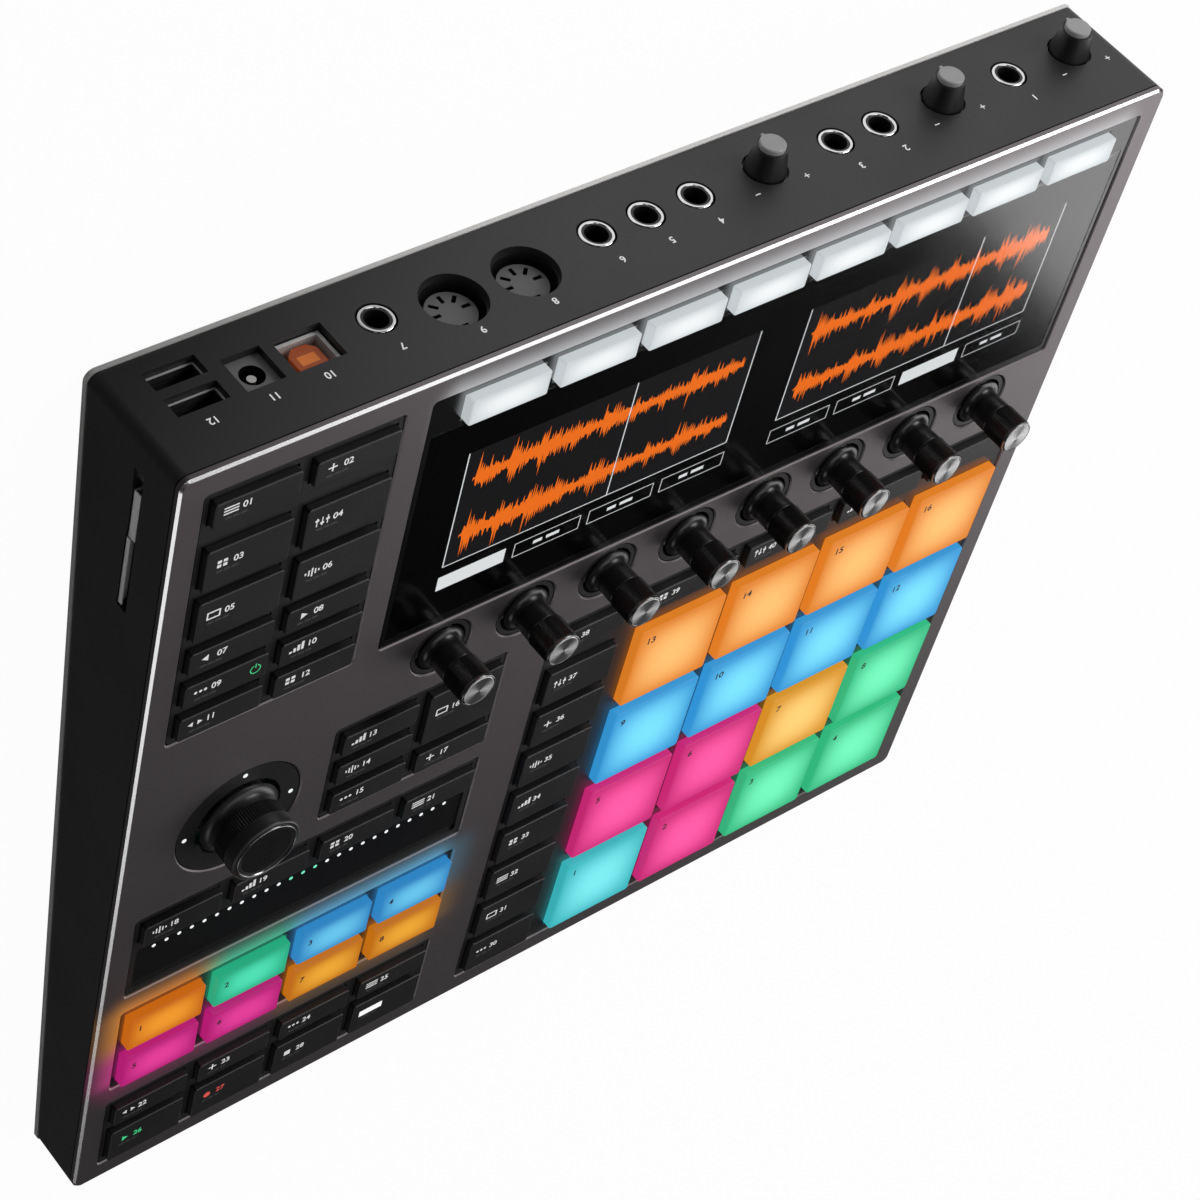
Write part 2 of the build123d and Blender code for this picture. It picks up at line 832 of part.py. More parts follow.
def level_knob(x):
    """Tapered rear level knob with a pointer nib on its cap."""
    cap_start = level_proud - level_cap_height
    foot = -level_foot
    knob = turned([
        (0, -wall - stem_depth),
        (stem_radius, -wall - stem_depth),
        (stem_radius, foot),
        (level_base_radius, foot),
        (level_base_radius, 0),
        (level_tip_radius, cap_start),
        (level_cap_radius, cap_start),
        (level_cap_radius, level_proud - level_cap_chamfer),
        (level_cap_radius - level_cap_chamfer, level_proud),
        (0, level_proud),
    ])
    half = level_nib_width / 2
    reach = level_cap_radius + level_nib_reach
    knob += block((-half, half), (0, reach), (cap_start, level_proud - 2 * level_cap_chamfer))
    return Pos(x, half_depth, -socket_drop) * Rot(-90, 0, 0) * knob


def nav_gimbal():
    """Ring that tilts on two side pins and holds the cradle's pins."""
    low = -pivot_depth - gimbal_height / 2
    ring = rod_z(nav_x, nav_y, gimbal_outer, low, low + gimbal_height)
    reach = gimbal_pin_reach
    ring += rod_x(nav_y, -pivot_depth, pivot_pin_radius, nav_x - reach, nav_x + reach)
    ring -= rod_z(nav_x, nav_y, gimbal_inner, low - overrun, low + gimbal_height + overrun)
    radius = pivot_pin_radius + pivot_clearance
    return ring - rod_y(nav_x, -pivot_depth, radius, nav_y - reach, nav_y + reach)


def nav_cradle():
    """Disc on two pins inside the gimbal, with the bushing of the plunger."""
    low = -pivot_depth - gimbal_height / 2
    cradle = rod_z(nav_x, nav_y, cradle_radius, low, low + gimbal_height)
    reach = cradle_pin_reach
    cradle += rod_y(nav_x, -pivot_depth, pivot_pin_radius, nav_y - reach, nav_y + reach)
    cradle += rod_z(nav_x, nav_y, nav_bushing_radius, low, nav_bushing_top)
    radius = plunger_radius + stem_clearance
    return cradle - rod_z(nav_x, nav_y, radius, low - overrun, nav_bushing_top + overrun)


def nav_plunger():
    """Push shaft in the cradle with the pin that the knob turns on."""
    shoulder_end = plunger_shoulder + plunger_shoulder_height
    return Pos(nav_x, nav_y, 0) * turned([
        (0, -plunger_foot),
        (plunger_radius, -plunger_foot),
        (plunger_radius, plunger_shoulder),
        (plunger_shoulder_radius, plunger_shoulder),
        (plunger_shoulder_radius, shoulder_end),
        (stem_radius, shoulder_end),
        (stem_radius, plunger_pin_top),
        (0, plunger_pin_top),
    ])


def nav_knob():
    """Large knurled knob with a flared skirt and a dished top."""
    bore = stem_radius + stem_clearance
    bore_end = plunger_pin_top + press_gap
    rim = nav_height - nav_rim_height
    return Pos(nav_x, nav_y, 0) * turned([
        (0, bore_end),
        (bore, bore_end),
        (bore, nav_cavity_top),
        (nav_cavity_radius, nav_cavity_top),
        (nav_cavity_radius, -nav_foot),
        (nav_skirt_radius, -nav_foot),
        (nav_skirt_radius, nav_foot),
        (nav_neck_radius, nav_skirt_top),
        (nav_neck_radius, nav_neck_top),
        (nav_grip_radius, nav_neck_top + nav_rim_height),
        (nav_grip_radius, rim),
        (nav_grip_radius - nav_rim_height, nav_height),
        (nav_dish_radius, nav_height),
        (nav_dish_radius - nav_dish_depth, nav_height - nav_dish_depth),
        (0, nav_height - nav_dish_depth),
    ])


# Keys and pads
def cap(x, y, width, depth, proud, corner, edge):
    """Key or pad cap with rounded edges and a flange that keeps it in the frame."""
    body = extrude(Pos(0, 0, -flange_bottom) * RectangleRounded(width, depth, corner), flange_bottom + proud)
    body = fillet(body.faces().sort_by(Axis.Z)[-1].edges(), edge)
    flange = Rectangle(width + 2 * flange_lip, depth + 2 * flange_lip)
    body += extrude(Pos(0, 0, -flange_bottom) * flange, flange_thickness)
    return Pos(x, y, 0) * body


def key_bank(name):
    """Separate keys of one bank."""
    keys = key_banks[name]
    return Compound(children=[cap(*key, key_corner, key_edge) for key in keys])


def pad(x, y):
    """Large square pad."""
    return cap(x, y, pad_size, pad_size, pad_proud, pad_corner, pad_edge)


# Sockets of the rear panel and the card slot
def jack_socket(x):
    """Quarter inch jack with its metal ring in the rear wall."""
    half = jack_body_width / 2
    tall = jack_body_height / 2
    zs = (-socket_drop - tall, -socket_drop + tall)
    body = block((x - half, x + half), (rear_inside - jack_body_depth, rear_inside), zs)
    mouth = half_depth - jack_recess
    body += rod_y(x, -socket_drop, jack_ring_radius, rear_inside - overrun, mouth)
    return body - rod_y(x, -socket_drop, jack_bore, mouth - jack_depth, half_depth + overrun)


def midi_socket(x):
    """Five pin round socket with a recessed insert."""
    half = midi_body_size / 2
    zs = (-midi_drop - half, -midi_drop + half)
    body = block((x - half, x + half), (rear_inside - midi_body_depth, rear_inside), zs)
    floor = rear_inside - midi_pocket_depth
    body -= rod_y(x, -midi_drop, midi_pocket_radius, floor, half_depth)
    front = floor + midi_insert_height
    insert = rod_y(x, -midi_drop, midi_insert_radius, floor - overrun, front)
    key = midi_key_width / 2
    key_top = midi_insert_radius - midi_drop
    insert -= block((x - key, x + key), (floor, front + overrun), (key_top - midi_key_depth, key_top + overrun))
    for i in range(5):
        turn = Pos(x, 0, -midi_drop) * Rot(0, (i - 2) * midi_slot_angle, 0)
        half_slot = midi_slot_width / 2
        outer = -midi_slot_circle + midi_slot_length / 2
        insert -= turn * block(
            (-half_slot, half_slot), (floor, front + overrun), (outer - midi_slot_length, outer)
        )
    return body + insert


def usb_b_socket():
    """Square data socket: metal shell and its plastic insert."""
    x = usb_b_share * half_width
    back = rear_inside - usb_b_depth
    shell = rear_window(usb_b_share, usb_drop, usb_b_shell_width, usb_b_shell_height, (back, rear_inside))
    room = 2 * usb_b_shell_wall
    floor = back + usb_b_shell_wall
    shell -= rear_window(
        usb_b_share, usb_drop, usb_b_shell_width - room, usb_b_shell_height - room,
        (floor, half_depth),
    )
    outline = Rectangle(usb_b_insert_width, usb_b_insert_height)
    outline = chamfer(outline.vertices().group_by(Axis.Y)[-1], usb_b_insert_corner)
    insert = extrude(outline, usb_b_depth - usb_b_shell_wall - usb_b_insert_recess)
    return [shell, Pos(x, floor, -usb_drop) * Rot(-90, 0, 0) * insert]


def usb_a_socket(drop):
    """Flat data socket: metal shell and its tongue."""
    back = rear_inside - usb_a_depth
    width = usb_a_opening_width - 2 * usb_a_shell_wall
    height = usb_a_opening_height - 2 * strip_clearance
    outer = rear_window(usb_a_share, drop, usb_a_opening_width, height, (back, rear_inside))
    floor = back + usb_a_shell_wall
    outer -= rear_window(
        usb_a_share, drop, width, height - 2 * usb_a_shell_wall, (floor, half_depth)
    )
    tongue_drop = drop - height / 2 + usb_a_shell_wall + usb_a_tongue_thickness
    tongue = rear_window(
        usb_a_share, tongue_drop, usb_a_tongue_width, usb_a_tongue_thickness,
        (floor, rear_inside - usb_a_tongue_recess),
    )
    return [outer, tongue]


def usb_sockets():
    """One square and two flat data sockets."""
    pieces = usb_b_socket()
    for drop in usb_a_drops:
        pieces += usb_a_socket(drop)
    return Compound(children=pieces)


def power_inlet():
    """Round power inlet with its centre pin in a square body."""
    x = power_share * half_width
    back = rear_inside - power_body_depth
    body = rear_window(power_share, usb_drop, power_opening_width, power_opening_height, (back, rear_inside))
    floor = rear_inside - power_bore_depth
    body -= rod_y(x, -usb_drop, power_bore, floor, half_depth)
    return body + rod_y(x, -usb_drop, power_pin_radius, floor - overrun, rear_inside - power_pin_recess)


def card_reader():
    """Card reader behind the left slot: a metal cage under the control board and its stop tab."""
    front = slot_front - reader_side
    rear = slot_rear + reader_side
    low = -slot_drop - slot_height / 2 - reader_below
    xs = (left_inside, left_inside + reader_depth)
    cage = block(xs, (front, rear), (low, -board_depth - board_thickness))
    mouth_low = -slot_drop - slot_height / 2
    mouth_xs = (left_inside - overrun, left_inside + reader_mouth_depth)
    mouth_front = slot_rear - card_stop_inset - card_stop_length
    cage -= block(mouth_xs, (slot_front, slot_rear), (mouth_low + card_stop_height, mouth_low + slot_height))
    cage -= block(mouth_xs, (slot_front, mouth_front), (mouth_low, mouth_low + reader_mouth_height))
    return cage


pieces = {
    "top_plate": top_plate(),
    "housing": housing(),
    "base_plate": base_plate(),
    "case_screws": case_screws(),
    "rubber_feet": rubber_feet(),
    "button_frame": button_frame(),
    "display_frame": display_frame(),
    "display_glass": display_glass(),
    "display_panels": display_panels(),
    "touch_strip": touch_strip(),
    "indicator_lights": indicator_lights(),
    "control_board": control_board(),
    "keypad_mat": keypad_mat(),
    "pad_sensors": pad_sensors(),
    "main_board": main_board(),
    "rotary_bodies": rotary_bodies(),
    "jack_sockets": Compound(children=[jack_socket(x) for x in jack_places]),
    "midi_sockets": Compound(children=[midi_socket(x) for x in midi_places]),
    "usb_sockets": usb_sockets(),
    "power_inlet": power_inlet(),
    "card_reader": card_reader(),
    "nav_gimbal": nav_gimbal(),
    "nav_cradle": nav_cradle(),
    "nav_plunger": nav_plunger(),
    "nav_knob": nav_knob(),
}
for name in key_banks:
    pieces[name] = key_bank(name)
for i, x in enumerate(knob_places):
    pieces[f"encoder_knob_{i + 1}"] = encoder_knob(x)
for i, x in enumerate(level_places):
    pieces[f"level_knob_{i + 1}"] = level_knob(x)
for i, (x, y) in enumerate(pad_places()):
    pieces[f"pad_{i + 1:02d}"] = pad(x, y)

os.makedirs("parts", exist_ok=True)
for name, shape in pieces.items():
    export_step(rest * shape, f"parts/{name}.step")
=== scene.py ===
import json
import math
import random

import bmesh
import bpy
from mathutils import Matrix, Vector


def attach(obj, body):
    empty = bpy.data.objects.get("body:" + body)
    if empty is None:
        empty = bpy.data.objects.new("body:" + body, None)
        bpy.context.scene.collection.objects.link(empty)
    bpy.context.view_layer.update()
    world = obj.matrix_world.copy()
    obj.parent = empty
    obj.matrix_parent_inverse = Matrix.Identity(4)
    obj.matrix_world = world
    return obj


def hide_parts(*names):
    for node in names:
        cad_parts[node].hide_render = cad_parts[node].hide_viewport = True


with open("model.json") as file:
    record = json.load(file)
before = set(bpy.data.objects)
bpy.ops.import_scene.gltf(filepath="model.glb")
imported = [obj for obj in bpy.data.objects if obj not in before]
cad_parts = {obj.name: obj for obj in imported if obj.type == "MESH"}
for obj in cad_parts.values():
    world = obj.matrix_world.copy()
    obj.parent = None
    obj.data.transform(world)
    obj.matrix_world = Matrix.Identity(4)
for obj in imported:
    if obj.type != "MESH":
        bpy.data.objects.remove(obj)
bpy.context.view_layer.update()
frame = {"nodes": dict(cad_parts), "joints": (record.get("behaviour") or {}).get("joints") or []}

nodes = frame["nodes"]
joints = {joint["name"]: joint for joint in frame["joints"]}
scene = bpy.context.scene


# The walls of the case: one band of black moulded plastic with a fine, even grain.
# The top edge is stepped back a little, which leaves a dark seam under the face plate.
def shader(name):
    """New material and its tree."""
    material = bpy.data.materials.new(name)
    material.use_nodes = True
    return material, material.node_tree


def feed(tree, node, inputs):
    """Sets inputs of a node, by name or number, to values or links."""
    for key, value in inputs.items():
        if isinstance(value, bpy.types.NodeSocket):
            tree.links.new(value, node.inputs[key])
        else:
            node.inputs[key].default_value = value


def add(tree, kind, inputs=None, **settings):
    """One shader node with its inputs and its other settings."""
    node = tree.nodes.new(f"ShaderNode{kind}")
    for key, value in settings.items():
        setattr(node, key, value)
    feed(tree, node, inputs or {})
    return node


def painted(material, inputs):
    """Gives the surface shader of a material its inputs."""
    tree = material.node_tree
    feed(tree, tree.nodes["Principled BSDF"], inputs)
    return material


def calc(tree, operation, value, *others):
    """Math on values or sockets, one after another."""
    for other in others or (0.0,):
        value = add(tree, "Math", {0: value, 1: other}, operation=operation).outputs[0]
    return value


def times(tree, *values):
    """Product of values or sockets."""
    return calc(tree, "MULTIPLY", *values)


def between(tree, value, low, high, start=0.0, end=1.0):
    """Smooth step of a value from one range to another."""
    inputs = {"Value": value, "From Min": low, "From Max": high, "To Min": start, "To Max": end}
    return add(tree, "MapRange", inputs, interpolation_type="SMOOTHSTEP").outputs["Result"]


def blend(tree, share, first, second):
    """Mix of two colours or colour sockets."""
    return add(tree, "Mix", {0: share, 6: first, 7: second}, data_type="RGBA").outputs[2]


def tint(colour, share=1.0):
    """A colour with its alpha, made darker or lighter."""
    return tuple(share * c for c in colour) + (1.0,)


def group_with(name, inputs, outputs):
    """Empty node group with value inputs and value outputs."""
    group = bpy.data.node_groups.new(name, "ShaderNodeTree")
    for side, labels in (("INPUT", inputs), ("OUTPUT", outputs)):
        for label in labels:
            group.interface.new_socket(label, in_out=side, socket_type="NodeSocketFloat")
    return group, group.nodes.new("NodeGroupInput"), group.nodes.new("NodeGroupOutput")


def moulded_grain():
    """Fine grain of moulded plastic as a height, and its slow drift as a tone."""
    inputs = ("Grain per metre", "Drift per metre")
    group, source, result = group_with("Moulded grain", inputs, ("Height", "Tone"))
    place = add(group, "TexCoord").outputs["Object"]
    for i, (detail, roughness) in enumerate(((2.0, 0.6), (4.0, 0.55))):
        settings = {"Vector": place, "Scale": source.outputs[i], "Detail": detail, "Roughness": roughness}
        noise = add(group, "TexNoise", settings)
        feed(group, result, {i: noise.outputs["Fac"]})
    return group


grain = moulded_grain()


def grain_of(tree, grain_scale, drift):
    """Height and tone of moulded grain, placed in a material."""
    inputs = {"Grain per metre": grain_scale, "Drift per metre": drift}
    return add(tree, "Group", inputs, node_tree=grain).outputs


def relief(tree, height, strength, depth):
    """Fine bumps of a surface, as its normal."""
    inputs = {"Strength": strength, "Distance": depth, "Height": height}
    return add(tree, "Bump", inputs).outputs["Normal"]


def plastic(name, colour, roughness, bump=0.12, grain_scale=5200.0, drift=38.0):
    """Moulded plastic or rubber of one colour, with grain and a drift of its gloss."""
    material, tree = shader(name)
    skin = grain_of(tree, grain_scale, drift)
    spread = 0.03
    return painted(material, {
        "Base Color": blend(tree, skin["Tone"], tint(colour, 0.92), tint(colour, 1.08)),
        "Roughness": between(tree, skin["Tone"], 0.3, 0.7, roughness - spread, roughness + spread),
        "Normal": relief(tree, skin["Height"], bump, 0.00004),
    })


def dress(material, *names):
    """Gives CAD nodes a finish."""
    for name in names:
        for place in nodes[name].material_slots:
            place.material = material


dress(plastic("black_wall", (0.015, 0.015, 0.016), 0.46, bump=0.2), "housing")


# The bottom: a satin aluminium sheet with eight steel screws and four low rubber feet.
# The sheet is cut a little larger than the walls, so its bright edge shows all round.
def satin_metal(name, colour, roughness, spread=0.1, bare=1.0):
    """Metal with fine streaks along one direction, duller where a coat leaves it less bare."""
    material, tree = shader(name)
    place = add(tree, "TexCoord").outputs["Object"]
    streak = (260.0, 9000.0, 9000.0)
    turned = add(tree, "Mapping", {"Vector": place, "Scale": streak}).outputs["Vector"]
    noise = add(tree, "TexNoise", {"Vector": turned, "Scale": 1.0, "Detail": 2.0})
    streaks = noise.outputs["Fac"]
    return painted(material, {
        "Base Color": blend(tree, streaks, tint(colour, 0.82), tint(colour)),
        "Roughness": between(tree, streaks, 0.25, 0.75, roughness - spread, roughness + spread),
        "Metallic": bare,
    })


dress(satin_metal("bottom_aluminium", (0.78, 0.77, 0.76), 0.36, bare=0.5), "base_plate")
dress(satin_metal("screw_steel", (0.42, 0.42, 0.43), 0.3), "case_screws")
dress(plastic("foot_rubber", (0.018, 0.018, 0.018), 0.8, bump=0.5, grain_scale=2600.0), "rubber_feet")


# The face plate: two millimetres of dark anodised aluminium, blasted to a satin finish.
# Its outer bevel is cut after anodising, so the bare metal shines there.
knob_axis = Vector(joints["nav_turn"]["axis"])
lean = math.atan2(-knob_axis.y, knob_axis.z)
millimetre = 0.001
nav_middle = Vector((-125.175, 4.6, 0.0))
tip_up = Matrix.Rotation(lean, 4, "X")
plate_middle = Vector(joints["nav_turn"]["pos_m"]) - tip_up @ (nav_middle * millimetre)
to_row = Matrix.Translation(plate_middle) @ tip_up @ Matrix.Scale(millimetre, 4)
plate_half = Vector((160.775, 146.95, 0.0))
half_width = plate_half.x
half_depth = plate_half.y
bevel_width = 0.62
bevel_low = -0.7
bevel_blur = 0.03


def panel_place():
    """Place on the face plate in millimetres: across, to the rear and above its face."""
    group, _, result = group_with("Panel place", (), ("Across", "Rearward", "Above"))
    place = add(group, "TexCoord").outputs["Object"]
    turn = {
        "Vector": place, "Location": plate_middle, "Rotation": (lean, 0, 0), "Scale": [millimetre] * 3,
    }
    turned = add(group, "Mapping", turn, vector_type="TEXTURE")
    parts = add(group, "SeparateXYZ", {0: turned.outputs["Vector"]})
    feed(group, result, dict(enumerate(parts.outputs)))
    return group


panel = panel_place()


def on_panel(tree):
    """Places on the face plate by name, in a material or a group."""
    return add(tree, "Group", node_tree=panel).outputs


def anodised_plate():
    """Dark satin anodising with a bare bright bevel round the outside."""
    material, tree = shader("face_anodised")
    place = on_panel(tree)
    beyond = []
    for axis, half in (("Across", half_width), ("Rearward", half_depth)):
        away = calc(tree, "ABSOLUTE", place[axis])
        beyond.append(calc(tree, "SUBTRACT", away, half - bevel_width))
    outer = between(tree, calc(tree, "MAXIMUM", *beyond), -bevel_blur, bevel_blur)
    upper = between(tree, place["Above"], bevel_low - 0.02, bevel_low + 0.02)
    bare = times(tree, outer, upper)
    skin = grain_of(tree, 7800.0, 16.0)
    face = blend(tree, skin["Tone"], (0.172, 0.153, 0.158, 1), (0.208, 0.187, 0.193, 1))
    satin = between(tree, skin["Height"], 0.3, 0.7, 0.43, 0.53)
    return painted(material, {
        "Base Color": blend(tree, bare, face, (0.86, 0.86, 0.86, 1)),
        "Roughness": between(tree, bare, 0.0, 1.0, satin, 0.24),
        "Normal": relief(tree, skin["Height"], 0.1, 0.00003),
        "Metallic": 1.0,
    })


dress(anodised_plate(), "top_plate")


# The frame behind the plate: one black moulding whose lands fill the windows round the keys.
# The boards, mats and bodies behind it hide inside the case.
dress(plastic("frame_black", (0.011, 0.011, 0.012), 0.42, bump=0.15), "button_frame")
board_green = plastic("board_green", (0.012, 0.07, 0.03), 0.35, bump=0.3, grain_scale=900.0)
dress(board_green, "control_board", "main_board")
dress(plastic("mat_rubber", (0.24, 0.24, 0.24), 0.7), "keypad_mat")
dress(plastic("sensor_sheet", (0.10, 0.10, 0.11), 0.75), "pad_sensors")
dress(satin_metal("rotary_steel", (0.46, 0.46, 0.47), 0.35), "rotary_bodies", "nav_plunger")
dress(plastic("pivot_plastic", (0.06, 0.06, 0.06), 0.5), "nav_gimbal", "nav_cradle")


# The dark keys: moulded caps with a fine matte face, each held in the frame by a flange.
# A plain sign and a number are printed in light grey on each, with a dim second mark below.
key_width = 24.2
short_key = 8.2
tall_key = 14.0
key_gap = 4.0
key_pitch = key_width + key_gap
wide_gap = 7.8
side_margin = 2.0
end_margin = 2.45
key_proud = 1.7
print_height = 0.03
bold_share = 0.018
left_edge = -153.375
rear_edge = 139.55
front_edge = -139.55
right_edge = 153.375
lower_top = 22.75
strip_top = -22.15
transport_top = -108.45
scene_left = -24.975
column_start = left_edge + side_margin + key_width / 2
scene_column = scene_left + side_margin + key_width / 2
pad_size = 32.0125
pad_pitch = 36.2125
pad_edge = 3.1
pad_margin = pad_edge + pad_size / 2
pad_first = Vector((right_edge - pad_margin - 3 * pad_pitch, front_edge + pad_margin, 0))
key_finish = plastic("key_black", (0.0105, 0.0105, 0.0112), 0.42, bump=0.22)


def key_rows(columns, top, heights):
    """Middle, width and height of each key in some columns, from a block's rear edge forward."""
    places = []
    top -= end_margin
    for height in heights:
        places += [(column_start + i * key_pitch, top - height / 2, key_width, height) for i in columns]
        top -= height + key_gap
    return places


scene_pitch = pad_pitch / 2
scene_start = pad_first.y - scene_pitch / 2
mode_y = lower_top - end_margin - short_key / 2
key_places = {
    "upper_keys": key_rows((0, 1), rear_edge, [short_key])
    + key_rows((0, 1), rear_edge - short_key - wide_gap, [tall_key] * 2 + [short_key] * 3),
    "master_keys": key_rows((2,), lower_top, [short_key] * 3)
    + key_rows((3,), lower_top, [2 * short_key + key_gap, short_key]),
    "strip_keys": key_rows(range(4), strip_top, [short_key]),
    "transport_keys": key_rows(range(4), transport_top, [short_key, tall_key]),
    "scene_keys": [
        (scene_column, scene_start + i * scene_pitch, key_width, scene_pitch - key_gap) for i in range(8)
    ],
    "mode_keys": [(scene_column, mode_y, key_width, short_key)]
    + [(pad_first.x + i * pad_pitch, mode_y, pad_size, short_key) for i in range(4)],
}
dress(key_finish, *key_places)


def put(name, data):
    """New object in the scene."""
    thing = bpy.data.objects.new(name, data)
    scene.collection.objects.link(thing)
    return thing


def finish_piece(name, bm, materials, body, replaced=(), smooth=None):
    """Places a mesh of the panel on the case, as a piece that rides on a body."""
    mesh = bpy.data.meshes.new(name)
    bmesh.ops.transform(bm, matrix=to_row, verts=bm.verts[:])
    bm.to_mesh(mesh)
    bm.free()
    for material in materials:
        mesh.materials.append(material)
    if smooth is not None:
        mesh.shade_smooth()
        mesh.set_sharp_from_angle(angle=math.radians(smooth))
    piece = put(name, mesh)
    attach(piece, body)
    if replaced:
        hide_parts(*replaced)


def stroke_matrix(x, y, z, angle=0.0, wide=1.0, tall=1.0):
    """Place, turn and stretch of one flat printed shape."""
    turned = Matrix.Translation((x, y, z)) @ Matrix.Rotation(angle, 4, "Z")
    return turned @ Matrix.Diagonal((wide, tall, 1, 1))


def print_bar(bm, x, y, z, wide, tall, angle=0.0):
    """Printed rectangle."""
    place = stroke_matrix(x, y, z, angle, wide, tall)
    bmesh.ops.create_grid(bm, x_segments=1, y_segments=1, size=0.5, matrix=place)


def print_disc(bm, x, y, z, radius, segments, angle):
    """Printed disc, or a triangle with three segments."""
    place = stroke_matrix(x, y, z, angle)
    bmesh.ops.create_circle(bm, cap_ends=True, segments=segments, radius=radius, matrix=place)


def raise_print(bm):
    """Gives flat printed shapes the thickness of ink."""
    bmesh.ops.recalc_face_normals(bm, faces=bm.faces[:])
    for face in bm.faces:
        if face.normal.z < 0:
            face.normal_flip()
    made = bmesh.ops.extrude_face_region(bm, geom=bm.faces[:])
    lifted = [v for v in made["geom"] if isinstance(v, bmesh.types.BMVert)]
    bmesh.ops.translate(bm, verts=lifted, vec=(0, 0, print_height))
    bmesh.ops.recalc_face_normals(bm, faces=bm.faces[:])


def ink(name, colour, glow=0.0):
    """Printed ink, a little uneven, that may be lit from behind."""
    material = plastic(name, colour, 0.55, bump=0.05, drift=900.0)
    return painted(material, {"Emission Color": tint(colour), "Emission Strength": glow})


def digits(bm, text, size, x, y, z):
    """Plain bold digits with the thickness of ink, from their lower left corner."""
    curve = bpy.data.curves.new("digits", "FONT")
    curve.body = text
    curve.size = size
    curve.offset = bold_share * size
    curve.extrude = print_height / 2
    maker = bpy.data.objects.new("digits", curve)
    mesh = bpy.data.meshes.new_from_object(maker)
    mesh.transform(Matrix.Translation((x, y, z + print_height / 2)))
    bm.from_mesh(mesh)
    bpy.data.objects.remove(maker)
    bpy.data.meshes.remove(mesh)


sign_scale = 1.3
thin = 0.34
sign_lift = 0.004
sign_bars = {
    "list": [(0, 0.75 * i, 3.2, thin, 0) for i in (-1, 0, 1)],
    "faders": [
        bar for i, shift in ((-1, 0.5), (0, -0.45), (1, 0.15))
        for bar in ((1.2 * i, 0, thin * 0.7, 2.2, 0), (1.2 * i, shift, 0.85, 0.5, sign_lift))
    ],
    "grid": [(1.3 * i, 1.1 * j, 0.9, 0.75, 0) for i in (-0.5, 0.5) for j in (-0.5, 0.5)],
    "steps": [(0.9 * (i - 1.5), 0.28 * (i + 1) - 0.9, 0.62, 0.56 * (i + 1), 0) for i in range(4)],
    "wave": [(0.75 * (i - 2), 0, thin, tall, 0) for i, tall in enumerate((0.7, 1.6, 2.3, 1.3, 0.6))],
    "plus": [(0, 0, 2.0, thin, 0), (0, 0, thin, 2.0, 0)],
    "frame": [
        bar for i in (-1, 1) for bar in ((1.35 * i, 0, thin, 2.0, 0), (0, 0.85 * i, 2.4, thin, 0))
    ],
    "square": [(0, 0, 1.6, 1.6, 0)],
    "lamp": [(1.6, 0, 6.4, 2.0, 0)],
}
sign_discs = {
    "dots": [(1.1 * i, 0.36, 16, 0) for i in (-1, 0, 1)],
    "left": [(0, 1.0, 3, 90)],
    "right": [(0, 1.0, 3, -90)],
    "arrows": [(-0.9, 0.75, 3, 90), (0.9, 0.75, 3, -90)],
    "disc": [(0, 0.9, 24, 0)],
}


def symbol(bm, kind, x, y, z):
    """One plain sign about four millimetres wide, of bars or of discs and triangles."""
    before = set(bm.verts)
    for across, up, wide, tall, lift in sign_bars.get(kind, ()):
        print_bar(bm, x + across, y + up, z + lift, wide, tall)
    for across, radius, segments, degrees in sign_discs.get(kind, ()):
        print_disc(bm, x + across, y, z, radius, segments, math.radians(degrees))
    fresh = [v for v in bm.verts if v not in before]
    centre = Matrix.Translation((-x, -y, -z))
    bmesh.ops.scale(bm, vec=(sign_scale, sign_scale, 1), space=centre, verts=fresh)


symbols_of = {
    "upper_keys": "list plus grid faders frame wave left right dots steps arrows grid",
    "master_keys": "steps wave dots frame plus",
    "strip_keys": "wave steps grid list",
    "transport_keys": "arrows plus dots list right disc square lamp",
    "scene_keys": "dots frame list grid steps wave plus faders",
    "mode_keys": "plus grid faders steps dots",
}
accents = {("transport_keys", 4): "green", ("transport_keys", 5): "red", ("transport_keys", 7): "white"}
mark_inks = {
    "light": ink("mark_light", (0.80, 0.80, 0.80), 0.25),
    "dim": ink("mark_dim", (0.05, 0.05, 0.05)),
    "green": ink("mark_green", (0.05, 0.55, 0.22), 0.45),
    "red": ink("mark_red", (0.62, 0.08, 0.06), 0.45),
    "white": ink("mark_white", (0.85, 0.85, 0.85), 0.6),
}
mark_inset = 4.6
mark_rise = 0.12
number_size = 2.9
number_shift = 3.1
number_drop = 0.95
dim_size = (1.8, 0.7)
dim_pitch = 2.2
dim_shift = -0.6
dim_drop = 2.6
numbered = 0
for bank, places in key_places.items():
    drawn = {"dim": bmesh.new()}
    labels = []
    signs = symbols_of[bank].split()
    for i, (x, y, width, tall) in enumerate(places):
        tone = accents.get((bank, i), "light")
        if tone not in drawn:
            drawn[tone] = bmesh.new()
        left = x - width / 2 + mark_inset
        up = y + mark_rise * tall
        symbol(drawn[tone], signs[i], left, up, key_proud)
        numbered += 1
        if tone != "white":
            labels.append((drawn[tone], numbered, left + number_shift, up - number_drop))
        for j in range(3):
            across = left + dim_shift + dim_pitch * j
            print_bar(drawn["dim"], across, up - dim_drop, key_proud, *dim_size)
    for bm in drawn.values():
        raise_print(bm)
    for bm, number, x, y in labels:
        digits(bm, f"{number:02d}", number_size, x, y, key_proud)
    for tone, bm in drawn.items():
        finish_piece(f"{bank}_marks_{tone}", bm, [mark_inks[tone]], bank)

